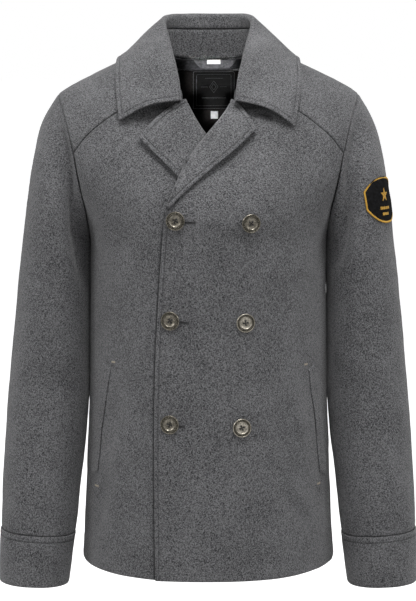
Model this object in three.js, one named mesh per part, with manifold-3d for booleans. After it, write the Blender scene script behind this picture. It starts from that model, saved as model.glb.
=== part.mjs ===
// A short double-breasted pea coat in heavy wool, filled out as it is worn, with nobody in it.
// Millimetres. +Z is up, +X is the wearer's left and -Y is the front. The origin is the middle
// of the neck base, level with the shoulder seams at the neck, where the shoulders carry it.
import * as THREE from "three";
import { mergeVertices } from "three/addons/utils/BufferGeometryUtils.js";
import Module from "manifold-3d";

const wasm = await Module();
wasm.setup();
const { sin, cos, asin, sqrt, abs, sign, min, max, exp, PI } = Math;
const QUARTER = PI / 2;

// Cloth and seams
const CLOTH = 2.2; // one layer of the coating wool
const DOUBLE = 3; // collar: two layers pressed together
const LAPEL_CLOTH = 2.4; // lapel: front and facing pressed together
const SEAM = 0.3; // space left between two pieces at a seam
const LINING = 0.8;
const LABEL = 0.6;

// Body: heights of the main lines
const UNDERARM = -252;
const HEM = -712;
const BODY_LENGTH = UNDERARM - HEM;
const FRONT_ROUNDNESS = 2.3; // how full the chest stays towards the shoulder
const BACK_ROUNDNESS = 2.6;
const RING_SQUARENESS = 2.4;
const RIDGE_BACK = 8; // the shoulder ridge lies this far behind the middle
const NECK_SLOPE = 0.22; // share by which the upper chest slopes back to the neck
const SHOULDER_SEAM = QUARTER + 0.09; // just behind the ridge, as an angle over the shoulder

// A ring of the body at each height: half its width, and its depth to the front and the back.
const BODY = [
  { z: -720, half: 177.5, front: 160, back: 147 },
  { z: -600, half: 171.5, front: 156, back: 141 },
  { z: -480, half: 167, front: 151, back: 132 },
  { z: -360, half: 165, front: 149, back: 130 },
  { z: -290, half: 164, front: 151, back: 135 },
  { z: -252, half: 165, front: 151, back: 139 },
  { z: -220, half: 176, front: 150, back: 141 },
  { z: -172, half: 203, front: 144, back: 141 },
  { z: -132, half: 219, front: 137, back: 140 },
  { z: -90, half: 228, front: 132, back: 139 },
  { z: 30, half: 230, front: 130, back: 138 },
];

// The shoulder ridge: its height at each distance from the middle, level at the middle.
const RIDGE = [
  { x: -78, z: 3 },
  { x: 0, z: 20 },
  { x: 78, z: 3 },
  { x: 129, z: -20 },
  { x: 171, z: -40 },
  { x: 190, z: -50 },
  { x: 208, z: -62 },
  { x: 230, z: -80 },
];

// The armhole: its distance from the middle at each angle over the shoulder.
const ARMHOLE = [
  { rise: 0, x: 165 },
  { rise: 0.15, x: 167.5 },
  { rise: 0.26, x: 172 },
  { rise: 0.4, x: 178 },
  { rise: 0.575, x: 184 },
  { rise: 0.88, x: 195 },
  { rise: 1.2, x: 204 },
  { rise: QUARTER, x: 208 },
];

// The neck seam, from the middle of the back round the side to the front end of the collar.
const SIDE_NECK = 76.5; // where the shoulder seam meets the neck
const NECK = [
  { v: 0, x: 0, rise: 2.083 },
  { v: 0.16, x: 38, rise: 2.04 },
  { v: 0.31, x: 62, rise: 1.9 },
  { v: 0.44, x: SIDE_NECK, rise: SHOULDER_SEAM },
  { v: 0.56, x: 76.5, rise: 1.48 },
  { v: 0.68, x: 71, rise: 1.28 },
  { v: 0.83, x: 57, rise: 1.02 },
  { v: 1, x: 34.5, rise: 0.775 },
];
const BACK_NECK = [{ x: -38, rise: 2.04 }, ...NECK.slice(0, 4)];
const FRONT_NECK = NECK.slice(3).reverse();

// The collar: its fold and its free edge at places round the neck, on the wearer's left.
const COLLAR_BACK = [
  { v: 0, rx: 0, ry: 92, rz: 48.5, ex: 0, ey: 104, ez: -30 },
  { v: 0.16, rx: 34, ry: 86, rz: 48.5, ex: 42, ey: 101, ez: -31 },
  { v: 0.31, rx: 54, ry: 64, rz: 47, ex: 88, ey: 85, ez: -28 },
  { v: 0.42, rx: 60, ry: 36, rz: 40, ex: 122, ey: 46, ez: -19 },
  { v: 0.54, rx: 54.5, ry: 2, rz: 18, ex: 126, ey: 8, ez: -13 },
  { v: 0.68, rx: 47.5, ry: -30, rz: -6, ex: 126.5, ey: -34, ez: -27 },
  { v: 0.83, rx: 40.5, ry: -58, rz: -33, ex: 125, ey: -67, ez: -56 },
];
const COLLAR_END = {
  right: { v: 1, rx: 32.5, ry: -83, rz: -62, ex: 120, ey: -92, ez: -93 },
  left: { v: 1, rx: 32.5, ry: -83, rz: -62, ex: 116, ey: -96, ez: -101 },
};
const COLLAR_FOLD = 4.6; // outer radius of the fold
const COLLAR_BULGE = 5; // how far the leaf swells between its fold and its edge
const COLLAR_CLEAR = 4.6; // least height of the leaf's outer face above the body
const STAND_CLEAR = 4.2; // and this much more where the stand lies under it
const CLEAR_BLEND = 2.5; // how softly the leaf comes to rest there
const STAND_RISE = 0.4; // the stand starts this far off the neck seam, and more at the front
const STAND_SHARE = 0.7; // the stand's seam lies this far up from the neck to the fold

// The front edge of each front, from the hem up to the collar, for the wearer's left front,
// which laps over, and the right front, which lies under it.
const LAP_EDGE = {
  left: [
    { z: -720, x: -71.5 },
    { z: -560, x: -72.5 },
    { z: -450, x: -71.5 },
    { z: -350, x: -67.5 },
    { z: -250, x: -60.5 },
    { z: -221, x: -56 },
    { z: -205, x: -50 },
    { z: -186, x: -41.5 },
    { z: -164, x: -32 },
    { z: -137, x: -15 },
    { z: -118, x: -0.8 },
    { z: -91, x: 18.8 },
    { z: -64.8, x: 34.5 },
    { z: -40, x: 45 },
  ],
  right: [
    { z: -720, x: 62 },
    { z: -350, x: 60 },
    { z: -250, x: 60 },
    { z: -212, x: 55 },
    { z: -198, x: 49.5 },
    { z: -169, x: 33 },
    { z: -137, x: 10.5 },
    { z: -115.5, x: -5.5 },
    { z: -90, x: -22 },
    { z: -64.8, x: -34.5 },
    { z: -40, x: -45 },
  ],
};
const LAP = 2.8; // the lapping front lies this far above the other
const LAPEL_LAP = 4.7; // and this much further where the other lapel lies between them
const LAP_TOP = -106; // above the crossing of the two fronts it settles back
const LAP_FADE = 38;

// Each lapel's free edge, from the top of the buttoned front up to its corner, as seen from
// the front, with how far its face stands off the front there.
const LAPEL_EDGE = {
  left: [
    { w: 0, x: -52.5, z: -212, lift: 4.2 },
    { w: 0.2, x: -31, z: -191.5, lift: 4.6 },
    { w: 0.45, x: -2, z: -168, lift: 6 },
    { w: 0.7, x: 32, z: -143, lift: 7 },
    { w: 1, x: 65, z: -111.5, lift: 6 },
  ],
  right: [
    { w: 0, x: 54, z: -213, lift: 3.6 },
    { w: 0.2, x: 20, z: -207, lift: 3.6 },
    { w: 0.4, x: -12, z: -194, lift: 3.6 },
    { w: 0.6, x: -38.5, z: -171, lift: 4 },
    { w: 1, x: -93.5, z: -118.5, lift: 7 },
  ],
};
const LAPEL_FOLD = 3.6; // outer radius of the lapel's fold
const LAPEL_BREAK = 0.2; // the lapels start to fold at this share from underarm to yoke seam
const LAPEL_END = 0.98;

// The yoke seam on the front, from the collar to the armhole.
const YOKE_SEAM = [
  { x: 34.5, rise: 0.775 },
  { x: 62, rise: 0.84 },
  { x: 95, rise: 0.835 },
  { x: 129, rise: 0.79 },
  { x: 150, rise: 0.738 },
  { x: 167, rise: 0.675 },
  { x: 184, rise: 0.575 },
];

// A section of the sleeve at each share of its length: its outer and inner points as seen
// from the front, how far its middle lies forward, and half its depth. Wearer's left.
const SLEEVE = [
  { t: 0, xo: 208, zo: -62, xi: 165, zi: -252, y: 2, deep: 70 },
  { t: 0.06, xo: 231, zo: -103, xi: 166.2, zi: -266, y: 1, deep: 71 },
  { t: 0.13, xo: 243, zo: -152, xi: 165.9, zi: -283, y: 0, deep: 71.5 },
  { t: 0.2, xo: 250.5, zo: -203, xi: 165.6, zi: -303, y: -1, deep: 71.5 },
  { t: 0.3, xo: 260, zo: -280, xi: 165.9, zi: -345, y: -3, deep: 70 },
  { t: 0.42, xo: 269.5, zo: -370, xi: 166.6, zi: -408, y: -7, deep: 67 },
  { t: 0.56, xo: 279, zo: -470, xi: 168.4, zi: -486, y: -14, deep: 62 },
  { t: 0.7, xo: 286, zo: -567, xi: 176, zi: -576, y: -23, deep: 57 },
  { t: 0.88, xo: 290, zo: -664, xi: 186.5, zi: -671, y: -35, deep: 51 },
  { t: 1, xo: 292, zo: -737, xi: 196.5, zi: -741.5, y: -42, deep: 47 },
];
const SLEEVE_SQUARENESS = 2.2;
const CUFF_SEAM = 0.88;
const CUFF_PROUD = 0.9; // the cuff stands this far off the sleeve
const CAP_EASE = 0.17; // share of the sleeve over which the armhole's shape dies away

// Pocket welts: the opening edge and the outer edge, on each side of the body
const WELT = {
  topX: 133.5,
  topOuterX: 146,
  bottomX: 152,
  bottomOuterX: 161.5,
  topZ: -433,
  bottomZ: -582,
  endRise: 9,
};
const WELT_CLOTH = 1.5;

// Buttons
const BUTTON = {
  thick: 3.6,
  hole: 2.4,
  holeRing: 2.9,
  seat: 0.25,
  profile: [[0, 0], [9.5, 0], [12.5, 1.8], [11.6, 3.6], [9, 2.8], [5.5, 1.9], [0, 1.7]],
};
const BUTTONS = [
  { name: "lap_top", x: -42.5, z: -225 },
  { name: "lap_middle", x: -50.2, z: -358.5 },
  { name: "lap_bottom", x: -51, z: -498.5 },
  { name: "inner_top", x: 55, z: -228 },
  { name: "inner_middle", x: 48.9, z: -361 },
  { name: "inner_bottom", x: 44.3, z: -502.5 },
];

// Inside the neck
const FACING_CLOTH = 1.2;
const FACING_HEIGHT = 0.1; // share of the back panel's height above the underarm
const FACING_REACH = 4 / 12; // share of the back panel's width, to each side
const LINING_LOW = -1 / 7;
const LINING_REACH = 11 / 12;
const LINING_TOP = 0.855;
const INNER_GAP = 1.5; // space between the back and its lining
const FACING_GAP = 2; // and between the back and the neck facing
const ON_LINING = CLOTH + INNER_GAP + LINING + 1 + LABEL;
const ON_FACING = CLOTH + FACING_GAP + FACING_CLOTH + 0.4;
const NECK_LABEL = { x: 8, wide: 63, high: -33, low: -86, depth: ON_LINING, thick: LABEL, columns: 8 };
const SIZE_TAG = { x: 16.5, wide: 11, high: -90, low: -101, depth: ON_LINING, thick: LABEL, columns: 2 };
const HANGER_LOOP = {
  x: 9.5,
  wide: 60,
  high: -17.5,
  low: -27.5,
  depth: ON_FACING + 0.8,
  thick: 0.8,
  columns: 10,
  narrow: 0.18,
  sag: 1.5,
};
const LOOP_TAG = { x: 8, wide: 20, high: -17.5, low: -23.5, depth: ON_FACING + 1.8, thick: LABEL, columns: 4 };

// The patch on the left sleeve
const BADGE = {
  z: -205,
  high: 62,
  frontTurn: 1.36,
  backTurn: -0.06,
  squeeze: 0.62,
  squareness: 2.6,
  thick: 1.1,
};

const grey = { roughness: 0.95, metalness: 0 };
const wool = new THREE.MeshStandardMaterial({ color: 0x5d5d60, ...grey });
const liningBlack = new THREE.MeshStandardMaterial({ color: 0x171616, roughness: 0.6 });
const tapeGrey = new THREE.MeshStandardMaterial({ color: 0x4c4d50, roughness: 0.8 });
const labelWhite = new THREE.MeshStandardMaterial({ color: 0xe6e6ea, roughness: 0.8 });
const labelBlack = new THREE.MeshStandardMaterial({ color: 0x121213, roughness: 0.7 });
const tagGrey = new THREE.MeshStandardMaterial({ color: 0xa7a7a4, roughness: 0.8 });
const buttonMetal = new THREE.MeshStandardMaterial({ color: 0x7c7566, roughness: 0.4, metalness: 0.8 });
const badgeBlack = new THREE.MeshStandardMaterial({ color: 0x17181a, roughness: 0.9 });

const coat = new THREE.Group();

const clamp = (value, low, high) => min(max(value, low), high);
const mix = (a, b, t) => a + (b - a) * t;
const ease = (t) => {
  const s = clamp(t, 0, 1);
  return s * s * (3 - 2 * s);
};
const power = (value, exponent) => sign(value) * abs(value) ** exponent;
const vector = (x, y, z) => new THREE.Vector3(x, y, z);

// The value of one column of a table at a place along another, on a smooth curve through its rows.
function along(rows, key, column, at) {
  const last = rows.length - 1;
  let i = 0;
  while (i < last - 1 && at > rows[i + 1][key]) i++;
  const slope = (j) => {
    const before = rows[max(j - 1, 0)];
    const after = rows[min(j + 1, last)];
    return (after[column] - before[column]) / (after[key] - before[key]);
  };
  const width = rows[i + 1][key] - rows[i][key];
  const t = clamp((at - rows[i][key]) / width, 0, 1);
  const rest = 1 - t;
  return (
    rows[i][column] * rest * rest * (1 + 2 * t) +
    rows[i + 1][column] * t * t * (1 + 2 * rest) +
    slope(i) * width * t * rest * rest -
    slope(i + 1) * width * t * t * rest
  );
}

const ridgeHeight = (x) => along(RIDGE, "x", "z", abs(x));
const armholeX = (rise) => along(ARMHOLE, "rise", "x", min(rise, PI - rise));
const yokeRise = (x) => along(YOKE_SEAM, "x", "rise", abs(x));

// A point of the body's outer face. Side is -1 at the front and 1 at the back. Rise is -1 at
// the hem, 0 at the underarm and a quarter turn on the shoulder ridge, past which the other
// side begins. Past is true where a ring has turned over its side seam.
function bodyPoint(side, x, rise, past = false) {
  if (rise > QUARTER) return bodyPoint(-side, x, PI - rise, past);
  const climb = rise > 0 ? sin(rise) : 0;
  const z =
    rise > 0
      ? UNDERARM + (ridgeHeight(x) - UNDERARM) * climb
      : UNDERARM + BODY_LENGTH * rise;
  const front = side < 0;
  const half = along(BODY, "z", "half", z);
  const deep = along(BODY, "z", front ? "front" : "back", z);
  const roundness = front ? FRONT_ROUNDNESS : BACK_ROUNDNESS;
  const ring = sqrt(max(0, 1 - abs(x / half) ** RING_SQUARENESS)) * (past ? -1 : 1);
  const arch = sqrt(max(0, 1 - climb ** roundness));
  const slope = front ? 1 - NECK_SLOPE * exp(-((x / 95) ** 2)) * ease((z + 230) / 150) : 1;
  return vector(x, side * deep * ring * arch * slope + RIDGE_BACK * climb * climb, z);
}

// The rise at which a vertical line at x reaches a height.
function riseAt(x, z) {
  if (z <= UNDERARM) return (z - UNDERARM) / BODY_LENGTH;
  return asin(clamp((z - UNDERARM) / (ridgeHeight(x) - UNDERARM), 0, 1));
}

// How far the left front stands off the body, over the right front and its lapel.
function lapOffset(x, z) {
  const below = 1 - ease((z - LAP_TOP) / LAP_FADE);
  const side = 1 - ease((x - 72) / 80);
  const overLapel = ease((z + 256) / 38) * (1 - ease((x - 62) / 70));
  return (LAP * side + LAPEL_LAP * overLapel) * below;
}

// A point on a front's outer face as seen from the front, moved out by lift.
function onFront(hand, x, z, lift) {
  const step = 0.5;
  const at = (px, pz) => bodyPoint(-1, px, riseAt(px, pz));
  const dx = at(x + step, z).sub(at(x - step, z));
  const dz = at(x, z + step).sub(at(x, z - step));
  const away = lift + (hand === "left" ? lapOffset(x, z) : 0);
  return at(x, z).addScaledVector(dx.cross(dz).normalize(), away);
}

// The outward normal of a face at u and w.
function normalOf(point, u, w, turn = 1) {
  const step = 1e-3;
  const du = point(u + step, w).sub(point(u - step, w));
  const dw = point(u, w + step).sub(point(u, w - step));
  return du.cross(dw).normalize().multiplyScalar(turn);
}

const FLAT = { left: 0, right: 0, bottom: 0, top: 0 }; // no seam round a piece that lies on another

const steps = (count, from = 0, to = 1) =>
  Array.from({ length: count + 1 }, (_, i) => mix(from, to, i / count));

// A cloth wall: a grid of outer points and the same points moved in by its thickness, closed
// round the edges. Each edge is drawn back by its gap. Mitre moves the inner points of the
// first row further on, where the wall meets another at an angle.
function clothWall({ point, us, ws, thick = CLOTH, turn = 1, ring = false, gaps = {}, mitre, normal }) {
  const { left = SEAM / 2, right = SEAM / 2, bottom = SEAM / 2, top = SEAM / 2 } = gaps;
  const columns = us.length;
  const rows = ws.length;
  const outer = us.map((u) => ws.map((w) => point(u, w)));
  const facing = us.map((u) => ws.map((w) => (normal ? normal(u, w) : normalOf(point, u, w, turn))));
  const inner = outer.map((line, i) =>
    line.map((p, j) => p.clone().addScaledVector(facing[i][j], -thick)),
  );
  const drawBack = (here, next, distance) => {
    const way = outer[next[0]][next[1]].clone().sub(outer[here[0]][here[1]]).normalize();
    return way.multiplyScalar(distance);
  };
  const moves = [];
  for (let i = 0; i < columns; i++) {
    const low = drawBack([i, 0], [i, 1], bottom);
    const high = drawBack([i, rows - 1], [i, rows - 2], top);
    moves.push([i, 0, low, mitre ? drawBack([i, 0], [i, 1], mitre(us[i])) : null]);
    moves.push([i, rows - 1, high, null]);
  }
  if (!ring) {
    for (let j = 0; j < rows; j++) {
      moves.push([0, j, drawBack([0, j], [1, j], left), null]);
      moves.push([columns - 1, j, drawBack([columns - 1, j], [columns - 2, j], right), null]);
    }
  }
  for (const [i, j, move, extra] of moves) {
    outer[i][j].add(move);
    inner[i][j].add(move);
    if (extra) inner[i][j].add(extra);
  }
  const points = [...outer.flat(), ...inner.flat()];
  const depth = columns * rows;
  const at = (i, j, inside) => (i % columns) * rows + j + (inside ? depth : 0);
  const faces = [];
  const quad = (a, b, c, d) => faces.push(a, b, c, a, c, d);
  const spans = ring ? columns : columns - 1;
  for (let i = 0; i < spans; i++) {
    for (let j = 0; j < rows - 1; j++) {
      quad(at(i, j), at(i + 1, j), at(i + 1, j + 1), at(i, j + 1));
      quad(at(i, j, 1), at(i, j + 1, 1), at(i + 1, j + 1, 1), at(i + 1, j, 1));
    }
    quad(at(i, 0), at(i, 0, 1), at(i + 1, 0, 1), at(i + 1, 0));
    quad(at(i, rows - 1), at(i + 1, rows - 1), at(i + 1, rows - 1, 1), at(i, rows - 1, 1));
  }
  if (!ring) {
    const end = columns - 1;
    for (let j = 0; j < rows - 1; j++) {
      quad(at(0, j), at(0, j + 1), at(0, j + 1, 1), at(0, j, 1));
      quad(at(end, j), at(end, j, 1), at(end, j + 1, 1), at(end, j + 1));
    }
  }
  if (turn < 0) faces.reverse();
  const geometry = new THREE.BufferGeometry();
  geometry.setAttribute("position", new THREE.Float32BufferAttribute(points.flatMap((p) => [p.x, p.y, p.z]), 3));
  geometry.setIndex(faces);
  return geometry;
}

function add(name, geometry, material, place) {
  const mesh = new THREE.Mesh(geometry, material);
  mesh.name = name;
  if (place) mesh.applyMatrix4(place);
  coat.add(mesh);
  return mesh;
}

// Fronts. A column runs from u 0 at the front edge to u 1 at the side seam and armhole, and a
// row from w -1 at the hem through w 0 at the underarm to w 1 at the yoke seam.
const YOKE_END = YOKE_SEAM[YOKE_SEAM.length - 1];

function sideTurn(w) {
  return QUARTER - 0.42 * ease(w);
}

function frontPoint(hand) {
  const out = hand === "left" ? 1 : -1;
  const edge = LAP_EDGE[hand];
  const corner = YOKE_SEAM[0];
  const edgeAt = (w) => {
    let x = out * corner.x;
    let z = HEM;
    for (let pass = 0; pass < 12; pass++) {
      z = w > 0 ? UNDERARM + (ridgeHeight(x) - UNDERARM) * sin(w * corner.rise) : UNDERARM + BODY_LENGTH * w;
      x = along(edge, "z", "x", z);
    }
    return x;
  };
  return (u, w) => {
    const start = edgeAt(w) * out;
    const reach = w > 0 ? armholeX(w * YOKE_END.rise) : along(BODY, "z", "half", UNDERARM + BODY_LENGTH * w);
    const turnEnd = sideTurn(w);
    const scale = reach / sin(turnEnd);
    const turnStart = asin(start / scale);
    const turn = mix(turnStart, turnEnd, u);
    const x = scale * sin(turn);
    const topX = mix(corner.x, YOKE_END.x, (x - start) / (reach - start));
    const rise = w > 0 ? w * yokeRise(topX) : w;
    const p = bodyPoint(-1, x * out, rise, turn > QUARTER);
    if (hand === "right") return p;
    return lapOffset(p.x, p.z) < 1e-6 ? p : onFront("left", p.x, p.z, 0);
  };
}

// The back panel. Columns run from u -1 at the right side to u 1 at the left, rows as on the fronts.
const NECK_COLUMN = 5 / 12; // the columns that end on the neck seam lie within this share
const BACK_TOP = PI - SHOULDER_SEAM;

// The x and the rise at which the back's column at u ends.
function backTop(u) {
  const side = abs(u);
  const neck = side < NECK_COLUMN;
  const x = neck ? (side / NECK_COLUMN) * SIDE_NECK : mix(SIDE_NECK, 208, (side - NECK_COLUMN) / (1 - NECK_COLUMN));
  return { x, rise: neck ? PI - along(BACK_NECK, "x", "rise", x) : BACK_TOP };
}

function backPoint(u, w) {
  const side = abs(u);
  const top = backTop(u);
  const reach = w > 0 ? armholeX(w * BACK_TOP) : along(BODY, "z", "half", UNDERARM + BODY_LENGTH * w);
  const share = mix(sin(side * QUARTER), top.x / 208, ease(w));
  return bodyPoint(1, sign(u) * reach * share, w > 0 ? w * top.rise : w, side > 1 && w <= 0);
}

// A yoke, from the yoke seam over the shoulder to the shoulder seam. U runs from the neck to
// the armhole and w from the yoke seam up.
function yokePoint(out) {
  const start = YOKE_SEAM[0];
  return (u, w) => {
    const bottomX = mix(start.x, YOKE_END.x, u);
    const topX = mix(SIDE_NECK, 208, u);
    const armholeEnd = armholeX(mix(YOKE_END.rise, SHOULDER_SEAM, w));
    const neckEnd = along(FRONT_NECK, "rise", "x", mix(start.rise, SHOULDER_SEAM, w));
    const straight = mix(mix(start.x, SIDE_NECK, w), mix(YOKE_END.x, 208, w), u);
    const x = mix(neckEnd, armholeEnd, u) + mix(bottomX, topX, w) - straight;
    return bodyPoint(-1, out * x, mix(yokeRise(bottomX), SHOULDER_SEAM, w));
  };
}

// Sleeves. Theta is 0 on the outside, a quarter turn at the front and a half turn underneath.
function sleeveSection(theta, t) {
  const c = power(cos(theta), 2 / SLEEVE_SQUARENESS);
  const s = power(sin(theta), 2 / SLEEVE_SQUARENESS);
  const get = (column) => along(SLEEVE, "t", column, t);
  const share = (1 + c) / 2;
  return vector(
    mix(get("xi"), get("xo"), share),
    get("y") - get("deep") * s,
    mix(get("zi"), get("zo"), share),
  );
}

function armholePoint(theta) {
  const c = power(cos(theta), 2 / SLEEVE_SQUARENESS);
  const rise = asin(clamp((1 + c) / 2, 0, 1));
  return bodyPoint(sin(theta) > 0 ? -1 : 1, armholeX(rise), rise);
}

function sleevePoint(theta, t) {
  const p = sleeveSection(theta, t);
  const hold = 1 - ease(t / CAP_EASE);
  if (hold > 0) p.addScaledVector(armholePoint(theta).sub(sleeveSection(theta, 0)), hold);
  return p;
}

// How far the sleeve's inner face must start beyond the body's at the armhole seam.
function capMitre(theta) {
  const c = power(cos(theta), 2 / SLEEVE_SQUARENESS);
  const rise = clamp(asin(clamp((1 + c) / 2, 0, 1)), 0.02, QUARTER - 0.02);
  const side = sin(theta) > 0 ? -1 : 1;
  const x = armholeX(rise);
  const dx = bodyPoint(side, x + 0.4, rise).sub(bodyPoint(side, x - 0.4, rise));
  const dr = bodyPoint(side, x, rise + 0.003).sub(bodyPoint(side, x, rise - 0.003));
  const bodyNormal = dx.cross(dr).normalize().multiplyScalar(-side);
  const way = sleevePoint(theta, 0.02).sub(sleevePoint(theta, 0)).normalize();
  const bend = clamp(-way.dot(bodyNormal), 0, 0.9);
  return (CLOTH * bend) / sqrt(1 - bend * bend) + (bend > 0 ? SEAM : 0);
}

// A folded strip, as a collar or lapel: from its base round the fold to its free edge. The
// stretches are u 0 to 1 for the base, 1 to 2 for the fold and 2 to 3 for the leaf.
function foldedPoint(frameAt, leaf) {
  return (u, v) => {
    const f = frameAt(v);
    if (u < 1) return f.base.clone().lerp(f.centre.clone().addScaledVector(f.out, -f.radius), u);
    if (u <= 2) {
      const turn = (u - 1) * PI;
      return f.centre
        .clone()
        .addScaledVector(f.out, -f.radius * cos(turn))
        .addScaledVector(f.apex, f.radius * sin(turn));
    }
    return leaf(f, u - 2, v);
  };
}

const mirrored = (row) => ({ ...row, v: -row.v, x: -row.x, rx: -row.rx, ex: -row.ex });
const NECK_ROUND = [...NECK.slice(1).map(mirrored).reverse(), ...NECK];
const COLLAR = [
  mirrored(COLLAR_END.right),
  ...COLLAR_BACK.slice(1).map(mirrored).reverse(),
  ...COLLAR_BACK,
  COLLAR_END.left,
];

function collarFrame(v) {
  const read = (a, b, c, at) => vector(along(COLLAR, "v", a, at), along(COLLAR, "v", b, at), along(COLLAR, "v", c, at));
  const fold = read("rx", "ry", "rz", v);
  const edge = read("ex", "ey", "ez", v);
  const neckX = along(NECK_ROUND, "v", "x", v);
  const neck = bodyPoint(-1, neckX, along(NECK_ROUND, "v", "rise", v));
  neck.addScaledVector(fold.clone().sub(neck).normalize(), STAND_RISE * (1 + 5 * v * v));
  const way = read("rx", "ry", "rz", v + 0.01).sub(read("rx", "ry", "rz", v - 0.01)).normalize();
  const middle = neck.clone().add(edge).multiplyScalar(0.5);
  const apex = fold.clone().sub(middle);
  apex.addScaledVector(way, -apex.dot(way)).normalize();
  const out = apex.clone().cross(way).normalize();
  const centre = fold.clone().addScaledVector(apex, -COLLAR_FOLD);
  return { base: neck, centre, apex, out, radius: COLLAR_FOLD, edge };
}

// A point moved out, where it has to be, until it lies clear of the body by a distance.
function clearOfBody(p, distance, hold) {
  let rise = 0;
  let nearest = Infinity;
  for (let step = 0.05; step > 0.001; step /= 4) {
    const middle = nearest === Infinity ? 1.4 : rise;
    const reach = nearest === Infinity ? 25 : 5;
    for (let i = -reach; i <= reach; i++) {
      const gap = bodyPoint(-1, p.x, middle + i * step).distanceTo(p);
      if (gap < nearest) {
        nearest = gap;
        rise = middle + i * step;
      }
    }
  }
  const q = bodyPoint(-1, p.x, rise);
  const dx = bodyPoint(-1, p.x + 1, rise).sub(bodyPoint(-1, p.x - 1, rise));
  const dr = bodyPoint(-1, p.x, rise + 0.01).sub(bodyPoint(-1, p.x, rise - 0.01));
  const out = dx.cross(dr).normalize();
  const height = p.clone().sub(q).dot(out);
  const wanted = (height + distance + sqrt((height - distance) ** 2 + CLEAR_BLEND ** 2)) / 2;
  return p.clone().addScaledVector(out, (wanted - height) * hold);
}

function collarLeaf(f, s) {
  const start = f.centre.clone().addScaledVector(f.out, f.radius);
  const p = start.clone().lerp(f.edge, s);
  p.addScaledVector(f.out, COLLAR_BULGE * sin(PI * s) * (1 - 0.3 * s));
  const overStand = STAND_CLEAR * (1 - ease((s - 0.22) * 4));
  const overLap = p.x > 0 ? lapOffset(p.x, p.z) : 0;
  return clearOfBody(p, COLLAR_CLEAR + overStand + overLap, ease(s * 7));
}

const collarPoint = foldedPoint(collarFrame, collarLeaf);

// A lapel turns over the edge of its front and lies on it.
function lapelFrame(hand) {
  const front = frontPoint(hand);
  const turn = hand === "left" ? 1 : -1;
  return (v) => {
    const w = mix(LAPEL_BREAK, LAPEL_END, v);
    const edge = front(0, w);
    const out = normalOf(front, 0.004, w, turn);
    const way = front(0, w + 0.01).sub(front(0, w - 0.01)).normalize();
    const apex = front(0.02, w).sub(edge).negate();
    apex.addScaledVector(way, -apex.dot(way));
    apex.addScaledVector(out, -apex.dot(out)).normalize();
    const inside = LAPEL_FOLD - LAPEL_CLOTH;
    const centre = edge.clone().addScaledVector(out, inside).addScaledVector(apex, SEAM);
    const base = centre.clone().addScaledVector(out, -LAPEL_FOLD);
    return { base, centre, apex, out, radius: LAPEL_FOLD, edge, w };
  };
}

function lapelLeaf(hand) {
  const rows = LAPEL_EDGE[hand];
  const atFold = 2 * LAPEL_FOLD - LAPEL_CLOTH;
  return (f, s, v) => {
    const lift = mix(atFold, along(rows, "w", "lift", v), ease(s * 1.4));
    return onFront(hand, mix(f.edge.x, along(rows, "w", "x", v), s), mix(f.edge.z, along(rows, "w", "z", v), s), lift);
  };
}

// The body's cloth
const LOWER_ROWS = steps(7, -1, 0).slice(0, -1);
const FRONT_UPPER = [0, 0.04, 0.1, 0.18, 0.3, 0.44, 0.6, 0.75, 0.88, 1];
const LAST_ROW = 0.845;
const BACK_UPPER = [0, 0.0135, 0.034, 0.068, 0.115, 0.176, 0.25, 0.34, 0.446, 0.57, 0.7, LAST_ROW, 1];
const YOKE_ROWS = steps(7);
const FRONT_COLUMNS = { left: steps(13), right: steps(12) };
for (const [hand, out] of [["left", 1], ["right", -1]]) {
  const front = frontPoint(hand);
  const us = FRONT_COLUMNS[hand];
  const ws = [...LOWER_ROWS, ...FRONT_UPPER];
  add(`front_${hand}`, clothWall({ point: front, us, ws, turn: out, gaps: { left: 0, bottom: 0 } }), wool);
  const yokeSpan = YOKE_END.x - YOKE_SEAM[0].x;
  const yokeColumns = us.map((u) => (out * front(u, 1).x - YOKE_SEAM[0].x) / yokeSpan);
  add(`yoke_${hand}`, clothWall({ point: yokePoint(out), us: yokeColumns, ws: YOKE_ROWS, turn: out }), wool);
}
const backRows = [...LOWER_ROWS, ...BACK_UPPER];
add("back", clothWall({ point: backPoint, us: steps(24, -1, 1), ws: backRows, turn: -1, gaps: { bottom: 0 } }), wool);

// The sleeves' cloth and cuffs. Their columns start on the ends of the body's rows.
const turnOf = (rise) => Math.acos(power(2 * sin(rise) - 1, SLEEVE_SQUARENESS / 2));
const frontTurns = FRONT_UPPER.map((w) => turnOf(w * YOKE_END.rise));
const yokeTurns = YOKE_ROWS.map((w) => mix(YOKE_END.rise, SHOULDER_SEAM, w)).map((rise) => (rise > QUARTER ? -1 : 1) * turnOf(rise));
const backTurns = BACK_UPPER.map((w) => -turnOf(w * BACK_TOP));
const FRONT_SEAM = 3; // the sleeve's seams start on these rows of the front and the back
const HIND_SEAM = 5;
const topTurns = [...backTurns.slice(HIND_SEAM), ...[...yokeTurns].reverse().slice(1), ...[...frontTurns].reverse().slice(1, frontTurns.length - FRONT_SEAM)];
const underTurns = [...frontTurns.slice(0, FRONT_SEAM + 1).reverse(), ...backTurns.slice(1, HIND_SEAM + 1).map((turn) => turn + 2 * PI)];
const SLEEVE_ROWS = [0, 0.03, 0.07, 0.12, 0.17, 0.24, 0.33, 0.45, 0.58, 0.72, CUFF_SEAM];
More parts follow.
